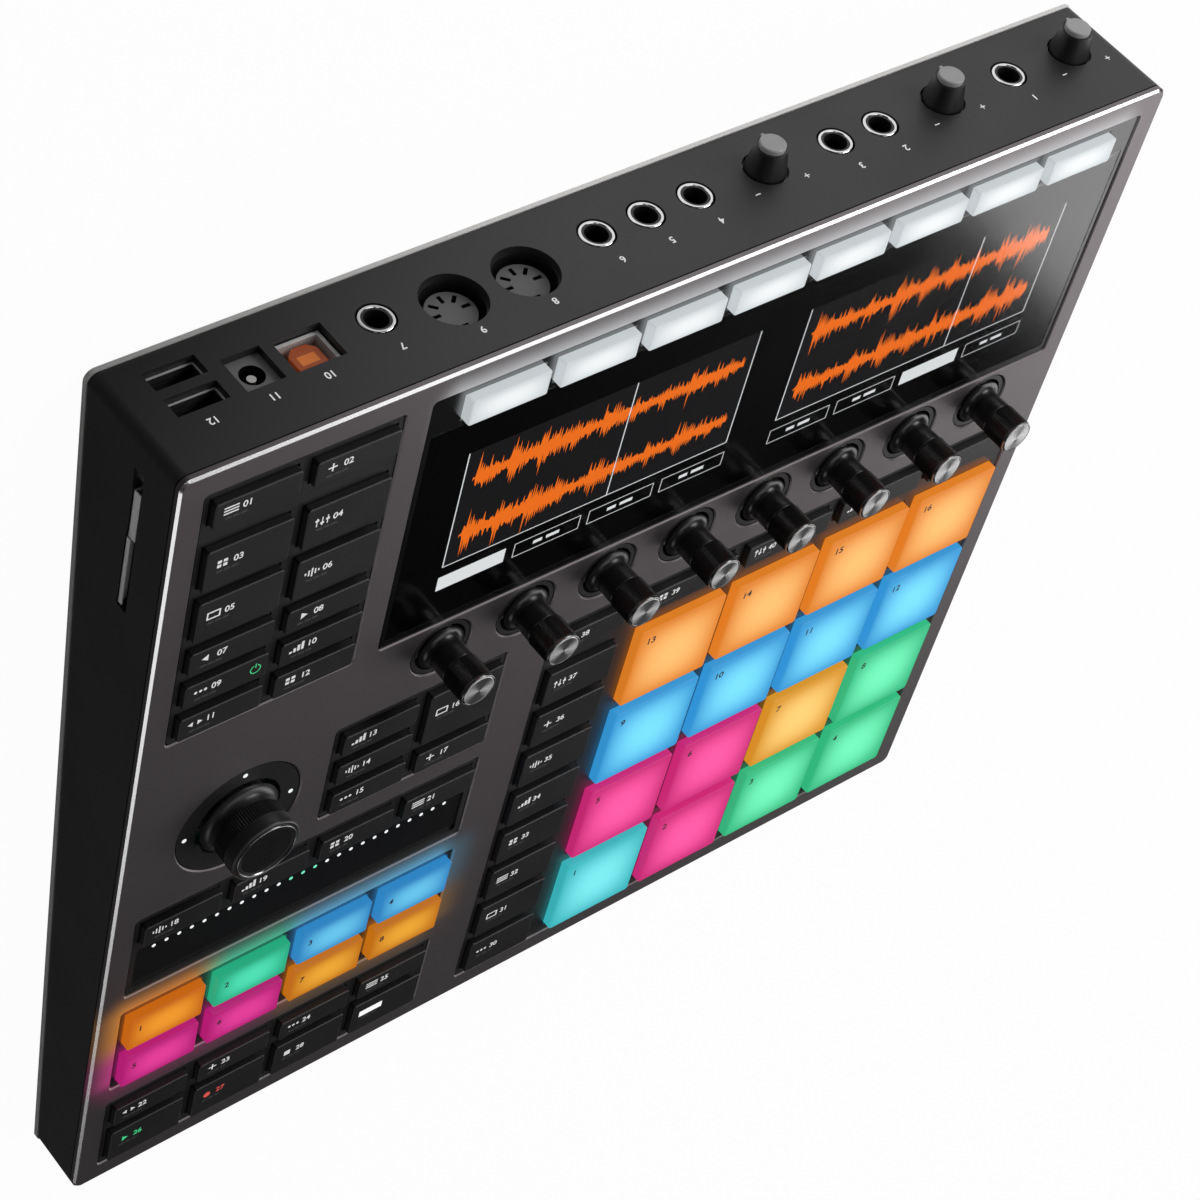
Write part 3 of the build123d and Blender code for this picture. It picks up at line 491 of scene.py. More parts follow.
power_ring = bmesh.new()
power_shift = 8.6
power_x = column_start + power_shift
power_y = key_places["upper_keys"][8][1]
ring_steps = 28
ring_radius = 1.45
ring_line = 0.3
ring_start = -240
ring_sweep = 300
for i in range(ring_steps):
    turn = math.radians(ring_start + ring_sweep * i / (ring_steps - 1))
    x = power_x + ring_radius * math.cos(turn)
    y = power_y + ring_radius * math.sin(turn)
    print_bar(power_ring, x, y, key_proud, 1.2 * ring_line, ring_line, turn + math.radians(90))
stem_rise = 1.25
stem_size = (0.32, 1.6)
print_bar(power_ring, power_x, power_y + stem_rise, key_proud, *stem_size)
raise_print(power_ring)
finish_piece("upper_keys_power_mark", power_ring, [mark_inks["green"]], "upper_keys")


# The lit keys and pads: translucent silicone caps over coloured lamps on the board.
# Each is brightest over its lamp and deeper in colour towards its edges.
# Some of their light falls on the plate beside the coloured and the white keys, and a painted glow on the
# plate there adds more.
cap_proud = 2.2
field_names = [f"{part} {way}" for part in ("Middle", "Pitch", "Reach") for way in ("across", "rearward")]


def cap_glow():
    """Share of lamp light in a cap of a regular field, and the height above the plate."""
    group, source, result = group_with("Cap glow", field_names, ("Glow", "Above"))
    place = on_panel(group)
    falls = []
    for i, axis in enumerate(("Across", "Rearward")):
        middle, pitch, reach = (source.outputs[j] for j in (i, i + 2, i + 4))
        steps = calc(group, "DIVIDE", calc(group, "SUBTRACT", place[axis], middle), pitch)
        part = calc(group, "SUBTRACT", calc(group, "FRACT", calc(group, "ADD", steps, 0.5)), 0.5)
        share = calc(group, "DIVIDE", times(group, part, pitch), reach)
        fall = calc(group, "POWER", calc(group, "ABSOLUTE", share), 2.2)
        falls.append(calc(group, "SUBTRACT", 1.0, fall))
    glow = calc(group, "MAXIMUM", times(group, *falls), 0.0)
    feed(group, result, {"Glow": glow, "Above": place["Above"]})
    return group


glow_group = cap_glow()


def lit_cap(name, field, colours, strength, skin_share, leak):
    """Silicone cap lit from behind, from an edge and a middle colour or a function that makes them."""
    material, tree = shader(name)
    lamp = add(tree, "Group", dict(zip(field_names, field)), node_tree=glow_group).outputs
    edge, middle = (colours(tree, part) if callable(colours) else colours[part] for part in (0, 1))
    skin = grain_of(tree, 4200.0, 60.0)
    share = calc(tree, "ADD", lamp["Glow"], times(tree, skin["Tone"], 0.04))
    lit = blend(tree, share, edge, middle)
    wall = between(tree, lamp["Above"], 0.1, cap_proud - 0.25, 1.0, 0.0)
    unseen = calc(tree, "SUBTRACT", 1.0, add(tree, "LightPath").outputs["Is Camera Ray"])
    side = calc(tree, "ADD", 1.0, times(tree, wall, unseen, leak))
    shade = add(tree, "VectorMath", {0: lit, "Scale": side}, operation="SCALE")
    return painted(material, {
        "Emission Color": shade.outputs["Vector"],
        "Emission Strength": strength,
        "Base Color": blend(tree, 1.0 - skin_share, lit, (0, 0, 0, 1)),
        "Roughness": 0.45,
        "Specular IOR Level": 0.2,
        "Normal": relief(tree, skin["Height"], 0.08, 0.00003),
    })


pad_field = (pad_first.x, pad_first.y, pad_pitch, pad_pitch, pad_size / 2, pad_size / 2)
lamp_colours = {
    "orange": ((0.72, 0.20, 0.015, 1), (1.0, 0.52, 0.16, 1)),
    "blue": ((0.03, 0.29, 0.64, 1), (0.19, 0.74, 1.0, 1)),
    "pink": ((0.56, 0.02, 0.17, 1), (1.0, 0.10, 0.38, 1)),
    "amber": ((0.66, 0.28, 0.015, 1), (1.0, 0.62, 0.18, 1)),
    "green": ((0.03, 0.46, 0.20, 1), (0.17, 0.92, 0.50, 1)),
    "cyan": ((0.04, 0.44, 0.48, 1), (0.20, 0.82, 0.86, 1)),
    "white": ((0.62, 0.66, 0.68, 1), (0.92, 0.95, 0.96, 1)),
}
pad_lamps = "cyan pink green green pink pink amber green".split() + ["blue"] * 4 + ["orange"] * 4
for colour in dict.fromkeys(pad_lamps):
    lit = lit_cap(f"pad_{colour}", pad_field, lamp_colours[colour], strength=0.9, skin_share=0.25, leak=2.0)
    dress(lit, *(f"pad_{i + 1:02d}" for i, lamp in enumerate(pad_lamps) if lamp == colour))

group_front = -101.05
group_row = tall_key + key_gap
group_middle = Vector((column_start, group_front + end_margin + tall_key / 2, 0))
group_field = (group_middle.x, group_middle.y, key_pitch, group_row, key_width / 2, tall_key / 2)
group_colours = {
    "magenta": ((0.52, 0.012, 0.20, 1), (0.92, 0.055, 0.38, 1)),
    "amber": ((0.62, 0.18, 0.006, 1), (1.0, 0.46, 0.04, 1)),
    "orange": ((0.66, 0.15, 0.006, 1), (1.05, 0.38, 0.03, 1)),
    "green": ((0.02, 0.46, 0.24, 1), (0.09, 0.89, 0.54, 1)),
    "blue": ((0.03, 0.27, 0.64, 1), (0.16, 0.66, 1.0, 1)),
}
group_lamps = (("magenta", "magenta", "amber", "amber"), ("orange", "green", "blue", "blue"))


def group_colour(tree, part, soft=0.01):
    """Colour of the lit keys by column and row, as the edge (0) or middle (1) of each lamp."""
    place = on_panel(tree)
    bands = []
    for row in group_lamps:
        colour = group_colours[row[0]][part]
        for i in range(1, len(row)):
            border = column_start + (i - 0.5) * key_pitch
            past = between(tree, place["Across"], border - soft, border + soft)
            colour = blend(tree, past, colour, group_colours[row[i]][part])
        bands.append(colour)
    border = group_middle.y + group_row / 2
    rear = between(tree, place["Rearward"], border - soft, border + soft)
    return blend(tree, rear, *bands)


group_lit = lit_cap("group_lit", group_field, group_colour, strength=0.78, skin_share=0.1, leak=4.0)
dress(group_lit, "group_keys")

display_middle = 32.2
display_key_y = rear_edge - end_margin - short_key / 2
one_row = 100.0
display_field = (
    display_middle + key_pitch / 2, display_key_y, key_pitch, one_row, key_width / 2, short_key / 2,
)
white = lamp_colours["white"]
display_lit = lit_cap("display_lit", display_field, white, strength=0.74, skin_share=0.35, leak=3.0)
dress(display_lit, "display_keys")
# Reach and fall-off of the painted glow on the plate beside the lit keys.
group_glow_reach = 15.0
white_glow_reach = 12.0
far_share = 0.25
far_fade = 3.0
colour_blend = 7.0


def distance(tree, x, y):
    """Length of a step whose two parts are at right angles."""
    return calc(tree, "SQRT", calc(tree, "ADD", times(tree, x, x), times(tree, y, y)))


def painted_glow_share(tree, place, middle, half, reach):
    """Share of painted glow on the plate round a rectangle of lit keys."""
    gaps = []
    for i, axis in enumerate(("Across", "Rearward")):
        away = calc(tree, "ABSOLUTE", calc(tree, "SUBTRACT", place[axis], middle[i]))
        gaps.append(calc(tree, "MAXIMUM", calc(tree, "SUBTRACT", away, half[i]), 0.0))
    return calc(tree, "POWER", between(tree, distance(tree, *gaps), 0.0, reach, 1.0, 0.0), 1.6)


def paint_plate_glow():
    """Painted glow on the plate beside the coloured and the white keys, an emission that stands in for their
    light.
    """
    material = bpy.data.materials["face_anodised"]
    tree = material.node_tree
    place = on_panel(tree)
    group_half = (1.5 * key_pitch + key_width / 2, group_row / 2 + tall_key / 2)
    group_place = (group_middle.x + 1.5 * key_pitch, group_middle.y + group_row / 2)
    coloured = painted_glow_share(tree, place, group_place, group_half, group_glow_reach)
    right_end = group_place[0] + group_half[0]
    front_end = group_place[1] - group_half[1]
    rightward = between(tree, place["Across"], right_end - 2 * far_fade, right_end + far_fade, 1.0, far_share)
    forward = between(tree, place["Rearward"], front_end - far_fade, front_end + far_fade, far_share, 1.0)
    coloured = times(tree, coloured, rightward, forward)
    white_half = (4 * key_pitch, short_key / 2)
    white = painted_glow_share(tree, place, (display_middle, display_key_y), white_half, white_glow_reach)
    # Painted glow: the plate itself emits the colours of the lit keys beside them, and white beside the
    # display keys.
    glow = blend(tree, coloured, (0, 0, 0, 1), group_colour(tree, 1, colour_blend))
    painted(material, {
        "Emission Color": blend(tree, white, glow, (0.9, 0.95, 0.97, 1)),
        "Emission Strength": 0.42,
    })


paint_plate_glow()

numeral_ink = ink("numeral_dark", (0.02, 0.02, 0.025))
pad_numeral = 3.6
pad_inset = Vector((3.0, 6.4, 0))
for i in range(16):
    x = pad_first.x + (i % 4) * pad_pitch - pad_size / 2 + pad_inset.x
    y = pad_first.y + (i // 4) * pad_pitch + pad_size / 2 - pad_inset.y
    body = f"pad_{i + 1:02d}"
    bm = bmesh.new()
    digits(bm, str(i + 1), pad_numeral, x, y, cap_proud)
    finish_piece(f"{body}_numeral", bm, [numeral_ink], body)
group_numeral = 3.2
group_inset = 2.6
group_rise = 0.6
bm = bmesh.new()
for i in range(8):
    x = group_middle.x + (i % 4) * key_pitch - key_width / 2 + group_inset
    y = group_middle.y + (1 - i // 4) * group_row + group_rise
    digits(bm, str(i + 1), group_numeral, x, y, cap_proud)
finish_piece("group_numerals", bm, [numeral_ink], "group_keys")


# The display: a black surround, a clear cover and two lit screens right behind the cover.
# The screens show two plain sound waves each, between thin rules and blank buttons.
dress(plastic("surround_black", (0.003, 0.003, 0.0032), 0.22, bump=0.03), "display_frame")


def cover_glass():
    """Clear cover with a faint drift of its gloss."""
    material, tree = shader("cover_glass")
    skin = grain_of(tree, 300.0, 14.0)
    return painted(material, {
        "Roughness": between(tree, skin["Tone"], 0.3, 0.7, 0.12, 0.16),
        "Base Color": (0.93, 0.94, 0.95, 1),
        "Transmission Weight": 1.0,
        "IOR": 1.5,
    })


dress(cover_glass(), "display_glass")
screen_black = plastic("screen_black", (0.002, 0.002, 0.002), 0.6)
dress(painted(screen_black, {"Specular IOR Level": 0.0}), "display_panels")
screen_floor = -2.1
glass_front = 50.05
display_strip = 11.9
glass_rear = rear_edge - display_strip
mask_width = 238.6
mask_trim = 4.4
mask_lift = 0.005
mask_height = glass_rear - glass_front - mask_trim
bm = bmesh.new()
print_bar(
    bm, display_middle, (glass_front + glass_rear) / 2, screen_floor + mask_lift, mask_width, mask_height
)
finish_piece("screen_mask", bm, [screen_black], "case")
picture_lift = 0.02
rule_lift = 0.05
wave_lift = 0.08
play_lift = 0.12
screen_width = 99.4
screen_height = 56.4
screen_pitch = 113.2
screen_drop = 11.2
screen_middle = glass_rear - screen_drop - screen_height / 2


def picture_light(name, colour):
    """Lit part of a screen picture, with the faint lines of its picture elements."""
    material, tree = shader(name)
    line = calc(tree, "SINE", times(tree, on_panel(tree)["Rearward"], 44.0))
    bright = between(tree, line, -1.0, 1.0)
    return painted(material, {
        "Emission Color": blend(tree, bright, tint(colour, 0.9), tint(colour)),
        "Emission Strength": 1.0,
        "Base Color": (0.002, 0.002, 0.002, 1),
        "Specular IOR Level": 0.0,
    })


picture_lights = {
    "ground": picture_light("picture_ground", (0.010, 0.010, 0.011)),
    "wave": picture_light("picture_orange", (1.0, 0.185, 0.014)),
    "rule": picture_light("picture_white", (0.85, 0.87, 0.88)),
}
wave_columns = 240
wave_tallest = 11.5
wave_inset = 5.0
hits = 9
box_inset = 2.0
box_top_inset = 3.0
box_front_inset = 12.0
rule_width = 0.35
base_rule = 0.3
play_shares = (0.06, 0.16)
tab_rise = 5.6
tab_height = 5.2
tab_gap = 3.0
tab_line = 0.22
tab_edge = 2.5
tab_marks = ((-3.0, 3.0), (2.0, 4.4))
tab_mark_height = 1.2


def wave_half_height(share, beats):
    """Half height of a sound of struck, fading notes at a share of its length."""
    loud = 0.08
    for start, force in beats:
        if share >= start:
            loud = max(loud, force * math.exp(-(share - start) * 8.0))
    return loud


def draw_screen(index, x, seed):
    """Lit picture of one screen, in three colours."""
    chance = random.Random(seed)
    z = screen_floor + picture_lift
    drawn = {key: bmesh.new() for key in picture_lights}
    box_top = screen_middle + screen_height / 2 - box_top_inset
    box_bottom = screen_middle - screen_height / 2 + box_front_inset
    box_middle = (box_top + box_bottom) / 2
    box_tall = box_top - box_bottom
    box_wide = screen_width - 2 * box_inset

    def rule(across, y, wide, tall, lift=rule_lift):
        print_bar(drawn["rule"], x + across, y, z + lift, wide, tall)

    print_bar(drawn["ground"], x, box_middle, z, box_wide, box_tall)
    for side in (-1, 1):
        rule(side * box_wide / 2, box_middle, rule_width, box_tall)
    rule(0, box_bottom, box_wide, base_rule)
    rule(play_shares[index] * screen_width, box_middle, rule_width, box_tall, play_lift)
    beats = [(i / hits + 0.02 * chance.random(), 0.45 + 0.55 * chance.random()) for i in range(hits)]
    span = screen_width - 2 * wave_inset
    for channel in (-1, 1):
        middle = box_middle + channel * box_tall / 4
        place = stroke_matrix(x, middle, z + wave_lift, 0.0, span, 1.0)
        made = bmesh.ops.create_grid(
            drawn["wave"], x_segments=wave_columns, y_segments=1, size=0.5, matrix=place
        )
        heights = {}
        for vert in made["verts"]:
            share = (vert.co.x - x) / span + 0.5
            key = round(share * wave_columns)
            if key not in heights:
                size = wave_tallest * wave_half_height(share, beats) * (1.0, 0.45)[key % 2]
                heights[key] = [size * (0.3 + 0.7 * chance.random()) for _ in range(2)]
            up = vert.co.y > middle
            vert.co.y = middle + heights[key][0] if up else middle - heights[key][1]
    tab_y = screen_middle - screen_height / 2 + tab_rise
    tab_pitch = screen_width / 4
    tab_wide = tab_pitch - tab_gap
    for i in range(4):
        tab = (i - 1.5) * tab_pitch
        if i == 2 * index:
            rule(tab, tab_y, tab_wide, tab_height)
            continue
        for side in (-1, 1):
            rule(tab, tab_y + side * tab_edge, tab_wide, tab_line)
            rule(tab + side * tab_wide / 2, tab_y, tab_line, tab_height)
        for shift, wide in tab_marks:
            rule(tab + shift, tab_y, wide, tab_mark_height)
    for key, bm in drawn.items():
        raise_print(bm)
        finish_piece(f"screen_{index + 1}_{key}", bm, [picture_lights[key]], "case")


for index, seed in enumerate((5, 12)):
    draw_screen(index, display_middle + (index - 0.5) * screen_pitch, seed)


# The touch strip: a glossy black inlay with a row of clear light pipes along its rear edge.
# The ring of the large knob has four more, and three pipes of the strip glow green.
dress(plastic("strip_black", (0.009, 0.009, 0.010), 0.22, bump=0.04), "touch_strip")
strip_middle = column_start + 1.5 * key_pitch
strip_rear = -25.0
touched_reach = 6.0


def light_pipe():
    """Clear pipe end lit white, or green at the touched place of the strip."""
    material, tree = shader("light_pipe")
    place = on_panel(tree)
    past = calc(tree, "GREATER_THAN", place["Across"], strip_middle - touched_reach)
    before = calc(tree, "LESS_THAN", place["Across"], strip_middle + touched_reach)
    in_front = calc(tree, "LESS_THAN", place["Rearward"], strip_rear)
    touched = times(tree, past, before, in_front)
    return painted(material, {
        "Emission Color": blend(tree, touched, (0.85, 0.9, 0.9, 1), (0.06, 0.75, 0.42, 1)),
        "Emission Strength": 0.9,
        "Base Color": (0.3, 0.3, 0.3, 1),
        "Roughness": 0.3,
    })


dress(light_pipe(), "indicator_lights")


# The eight slim knobs: black moulded caps with a flared foot, a smooth neck and a ribbed grip.
# A turned aluminium disc with a bright rim is set into the top of each.
def turn_profile(bm, points, steps=72, material=0):
    """Surface of revolution about Z from radius and height pairs."""
    before = set(bm.faces)
    verts = [bm.verts.new((radius, 0, height)) for radius, height in points]
    edges = [bm.edges.new(pair) for pair in zip(verts, verts[1:])]
    bmesh.ops.spin(
        bm, geom=verts + edges, cent=(0, 0, 0), axis=(0, 0, 1), angle=math.tau, steps=steps, use_merge=True
    )
    for face in bm.faces:
        if face not in before:
            face.material_index = material


def arc(middle_r, middle_z, radius, start, end, count):
    """Points of a round stretch of a profile, with angles in degrees."""
    turns = [math.radians(start + (end - start) * i / count) for i in range(count + 1)]
    return [(middle_r + radius * math.cos(t), middle_z + radius * math.sin(t)) for t in turns]


def ribbed_sleeve(bm, radius, depth, ribs, low, high, ease):
    """Grip of fine upright ribs, closed at both ends."""
    before = set(bm.faces)
    place = Matrix.Translation((0, 0, low))
    bmesh.ops.create_circle(bm, cap_ends=True, segments=2 * ribs, radius=radius - ease, matrix=place)
    level = low
    for height, grow in ((low + ease, 1), (high - ease, 0), (high, -1)):
        ends = [face for face in bm.faces if face not in before and len(face.verts) > 4]
        top = max(ends, key=lambda face: face.calc_center_median().z)
        pulled = bmesh.ops.extrude_face_region(bm, geom=[top])
        ring = [v for v in pulled["geom"] if isinstance(v, bmesh.types.BMVert)]
        bmesh.ops.translate(bm, verts=ring, vec=(0, 0, height - level))
        if level > low:
            bmesh.ops.delete(bm, geom=[top], context="FACES_ONLY")
        level = height
        if grow:
            share = radius / (radius - ease) if grow > 0 else (radius - ease) / radius
            bmesh.ops.scale(bm, verts=ring, vec=(share, share, 1))
        if grow > 0:
            inner = (radius - depth) / radius
            around = sorted(ring, key=lambda v: math.atan2(v.co.y, v.co.x))
            bmesh.ops.scale(bm, verts=around[::2], vec=(inner, inner, 1))


def close_up(bm):
    """Joins points that meet and turns all faces outward."""
    bmesh.ops.remove_doubles(bm, verts=bm.verts[:], dist=0.0005)
    bmesh.ops.recalc_face_normals(bm, faces=bm.faces[:])


def spun_metal(name, colour, roughness):
    """Turned metal whose fine rings stretch the highlights across them."""
    material, tree = shader(name)
    rings = add(tree, "UVMap", uv_map="turning")
    parts = add(tree, "SeparateXYZ", {0: rings.outputs["UV"]})
    wave = calc(tree, "SINE", times(tree, parts.outputs["Y"], 110.0))
    tangent = add(tree, "Tangent", direction_type="UV_MAP", uv_map="turning")
    return painted(material, {
        "Base Color": blend(tree, between(tree, wave, -1.0, 1.0), tint(colour, 0.93), tint(colour)),
        "Roughness": between(tree, wave, -1.0, 1.0, roughness - 0.02, roughness + 0.02),
        "Tangent": tangent.outputs["Tangent"],
        "Metallic": 1.0,
        "Anisotropic": 0.75,
    })


def map_turning(bm, radius):
    """UV of turned faces: the turn across and the radius upward."""
    layer = bm.loops.layers.uv.new("turning")
    for face in bm.faces:
        middle = face.calc_center_median()
        base = math.atan2(middle.y, middle.x)
        for loop in face.loops:
            place = loop.vert.co
            turn = math.atan2(place.y, place.x) if place.xy.length > 1e-6 else base
            turn = base + (turn - base + math.pi) % math.tau - math.pi
            loop[layer].uv = (turn / math.tau, place.xy.length / radius)


knob_black = plastic("knob_black", (0.010, 0.010, 0.0105), 0.3, bump=0.06)
knob_disc = spun_metal("knob_disc", (0.70, 0.70, 0.70), 0.34)
knob_rim = satin_metal("knob_rim", (0.30, 0.30, 0.30), 0.24, spread=0.03)
knob_row = 38.95
grip_low = 8.5
grip_high = 15.9
disc_top = 16.55


def knob_mesh():
    """One slim knob about the panel's Z axis, in millimetres."""
    bm = bmesh.new()
    foot = [(0, -0.8), (4.2, -0.8), (4.2, -0.9), (7.0, -0.9), (7.2, -0.7), (7.2, -0.1)]
    flare = arc(7.1, 2.1, 2.0, 270, 180, 8)
    neck = [(5.15, 2.3), (5.32, 7.9), (5.2, 8.05), (4.9, 8.05), (4.9, grip_low), (0, grip_low)]
    turn_profile(bm, foot + flare + neck)
    ribbed_sleeve(bm, radius=5.5, depth=0.13, ribs=90, low=grip_low - 0.3, high=grip_high, ease=0.2)
    rim = [(0, grip_high), (5.2, grip_high), (5.3, grip_high + 0.1), (5.3, 16.25)]
    seat = [(4.85, 16.5), (4.75, 16.42), (0, 16.42)]
    turn_profile(bm, rim + arc(5.05, 16.25, 0.25, 0, 90, 4) + seat, material=1)
    disc = [(0, 16.4), (4.74, 16.4), (4.74, 16.45), (4.6, disc_top), (0, disc_top)]
    turn_profile(bm, disc, material=2)
    close_up(bm)
    map_turning(bm, 5.0)
    return bm


knob_finishes = [knob_black, knob_rim, knob_disc]
for i in range(8):
    bm = knob_mesh()
    x = display_middle + (i - 3.5) * key_pitch
    bmesh.ops.translate(bm, verts=bm.verts[:], vec=(x, knob_row, 0))
    body = f"encoder_knob_{i + 1}"
    finish_piece(f"slim_knob_{i + 1}", bm, knob_finishes, body, [body], smooth=32)


# The large knob: a rubber-skinned cap that pushes, tilts and turns, with a flared foot.
# Its lower half is ribbed, its upper half smooth, and a thin bright ring edges the dished top.
nav_black = plastic("nav_rubber", (0.019, 0.019, 0.0195), 0.36, bump=0.08)
nav_ring = satin_metal("nav_ring", (0.30, 0.30, 0.30), 0.22, spread=0.05)
bm = bmesh.new()
foot = [(0, 0.2), (6.2, 0.2), (6.2, -0.3), (11.8, -0.3), (12.0, -0.1), (12.0, 0.3)]
flare = arc(11.9, 2.8, 2.3, 270, 180, 8)
nav_steps = 120
turn_profile(bm, foot + flare + [(9.6, 3.4), (9.6, 4.6), (0, 4.6)], nav_steps)
ribbed_sleeve(bm, radius=10.3, depth=0.3, ribs=84, low=3.8, high=8.6, ease=0.25)
cap_side = [(0, 8.4), (10.2, 8.4), (10.45, 8.6), (10.45, 12.0)]
cap_seat = [(9.3, 12.6), (9.3, 12.3), (0, 12.3)]
turn_profile(bm, cap_side + arc(9.85, 12.0, 0.6, 0, 90, 6) + cap_seat, nav_steps)
ring_side = [(0, 12.2), (9.25, 12.2), (9.25, 12.75)]
turn_profile(bm, ring_side + arc(9.0, 12.75, 0.25, 0, 180, 6) + [(8.6, 12.5), (0, 12.5)], nav_steps, 1)
dish = [(0, 12.25), (8.62, 12.25), (8.62, 12.6), (8.3, 12.62), (7.4, 12.4), (0, 12.22)]
turn_profile(bm, dish, nav_steps)
close_up(bm)
bmesh.ops.translate(bm, verts=bm.verts[:], vec=nav_middle)
finish_piece("large_knob", bm, [nav_black, nav_ring], "nav_knob", ["nav_knob"], smooth=32)


# The jacks: black plastic bodies behind the rear wall, each held by a bright round nut.
# The nut stands in its own hole of the wall and has rounded edges and a turned face.
jack_drop = 24.0
jack_shares = (0.757, 0.459, 0.360, 0.060, -0.042, -0.141, -0.560)
dress(plastic("socket_black", (0.008, 0.008, 0.009), 0.5), "jack_sockets")
nut_metal = satin_metal("nut_chrome", (0.80, 0.80, 0.81), 0.14, spread=0.04)
stand_rear = Matrix.Rotation(math.radians(-90), 4, "X")
nut_mouth = [(3.25, -1.6), (3.25, -0.8), (3.75, -0.45), (3.85, -0.12), (3.95, 0.0), (4.35, 0.0)]
nut_profile = nut_mouth + arc(4.35, -0.4, 0.4, 90, 0, 5) + [(4.75, -1.6), (3.25, -1.6)]
bm = bmesh.new()
for share in jack_shares:
    before = set(bm.verts)
    turn_profile(bm, nut_profile, steps=48)
    made = [v for v in bm.verts if v not in before]
    place = Matrix.Translation((share * half_width, half_depth, -jack_drop)) @ stand_rear
    bmesh.ops.transform(bm, matrix=place, verts=made)
close_up(bm)
finish_piece("jack_nuts", bm, [nut_metal], "case", smooth=40)


# The round data sockets: a black shell with a grey insert that has five pin slots and a key notch.
# The power inlet is a grey block with a black bore and a bright pin in its middle.
midi_shares = (-0.294, -0.431)
midi_drop = 21.0
insert_radius = 6.75
insert_depth = 4.2
power_share = -0.782
data_drop = 23.3
pin_radius = 1.3
bore_radius = 3.28
bore_depth = 2.25


def repaint(material):
    """Tree, first colour and places of a finish that gets other colours in some places."""
    tree = material.node_tree
    first = tree.nodes["Principled BSDF"].inputs["Base Color"].links[0].from_socket
    return tree, first, on_panel(tree)


def round_distance(tree, place, across, drop):
    """Distance from a line through the rear wall."""
    x = calc(tree, "SUBTRACT", place["Across"], across)
    z = calc(tree, "ADD", place["Above"], drop)
    return distance(tree, x, z)


def midi_finish():
    """Black shell with a grey insert in each of the two sockets."""
    material = plastic("round_socket", (0.010, 0.010, 0.011), 0.42)
    tree, black, place = repaint(material)
    near = [round_distance(tree, place, share * half_width, midi_drop) for share in midi_shares]
    inside = calc(tree, "LESS_THAN", calc(tree, "MINIMUM", *near), insert_radius)
    front = calc(tree, "GREATER_THAN", place["Rearward"], half_depth - insert_depth)
    grey = times(tree, inside, front)
    return painted(material, {"Base Color": blend(tree, grey, black, (0.13, 0.132, 0.135, 1))})


def power_finish():
    """Grey block, black bore and bright pin."""
    material = plastic("power_grey", (0.17, 0.172, 0.175), 0.45)
    tree, grey, place = repaint(material)
    away = round_distance(tree, place, power_share * half_width, data_drop)
    pin = calc(tree, "LESS_THAN", away, pin_radius)
    bore = calc(tree, "LESS_THAN", away, bore_radius)
    deep = calc(tree, "LESS_THAN", place["Rearward"], half_depth - bore_depth)
    body = blend(tree, times(tree, bore, deep), grey, (0.006, 0.006, 0.006, 1))
    bright = blend(tree, pin, body, (0.8, 0.79, 0.77, 1))
    return painted(material, {"Base Color": bright, "Metallic": pin})


dress(midi_finish(), "midi_sockets")
dress(power_finish(), "power_inlet")


# The data sockets: plated steel shells with an orange insert in the square one.
# The flat ones have a dark tongue with contacts, and the card reader has a plated cage.
# Two pale sprung flaps close its slot. The mouths of the shells and a post on the square insert have painted
# highlight and shade.
square_share = -0.685
square_half = (4.25, 3.85)
# Size and height of the painted post of the square insert.
painted_post_half = (2.5, 1.5)
painted_post_drop = 22.6
flat_share = -0.887
flat_edge = -0.83 * half_width
flat_drops = (20.5, 29.7)
tongue_half = (5.65, 1.02)
# Depth of the painted highlight at the mouths of the shells.
painted_rim_depth = 2.4
contact_rate = 2.513


def data_socket_finish():
    """Plated shells with a painted highlight at their mouths and, in the flat ones, painted shade deeper in;
    orange square insert with a painted post; dark flat tongues.
    """
    material = satin_metal("plated_shell", (0.94, 0.94, 0.94), 0.3)
    tree, plated, place = repaint(material)

    def within(axis, middle, reach):
        gap = calc(tree, "ABSOLUTE", calc(tree, "SUBTRACT", place[axis], middle))
        return calc(tree, "LESS_THAN", gap, reach)

    def box(share, drop, half):
        across = within("Across", share * half_width, half[0])
        return times(tree, across, within("Above", -drop, half[1]))

    square = box(square_share, data_drop, square_half)
    tongue = calc(tree, "MAXIMUM", *(box(flat_share, drop, tongue_half) for drop in flat_drops))
    stripes = calc(tree, "SINE", times(tree, place["Across"], contact_rate))
    contact = calc(tree, "GREATER_THAN", stripes, 0.55)
    bar = blend(tree, contact, (0.14, 0.14, 0.145, 1), (0.60, 0.57, 0.50, 1))
    # Painted light on the shells: their mouths are a painted highlight, lighter in the flat ones and less
    # metallic in all, and deeper in the flat shells are painted dark as shade.
    flat = calc(tree, "LESS_THAN", place["Across"], flat_edge)
    painted_rim_highlight = calc(tree, "GREATER_THAN", place["Rearward"], half_depth - painted_rim_depth)
    flat_shell_painted_light = blend(tree, painted_rim_highlight, (0.08, 0.08, 0.08, 1), (0.75, 0.75, 0.75, 1))
    shell = blend(tree, flat, plated, flat_shell_painted_light)
    # Painted post: a lighter middle of the square insert in a darker orange, as painted highlight and shade
    # of a relief that is not modelled.
    painted_post = box(square_share, painted_post_drop, painted_post_half)
    orange = blend(tree, painted_post, (0.50, 0.085, 0.01, 1), (1.0, 0.26, 0.035, 1))
    colour = blend(tree, square, shell, orange)
    # Less metallic on the plastic parts, and on the shell mouths as part of their painted highlight.
    dull = calc(tree, "MAXIMUM", square, tongue, times(tree, painted_rim_highlight, 0.3))
    return painted(material, {
        "Base Color": blend(tree, tongue, colour, bar),
        "Metallic": calc(tree, "SUBTRACT", 0.5, dull),
    })


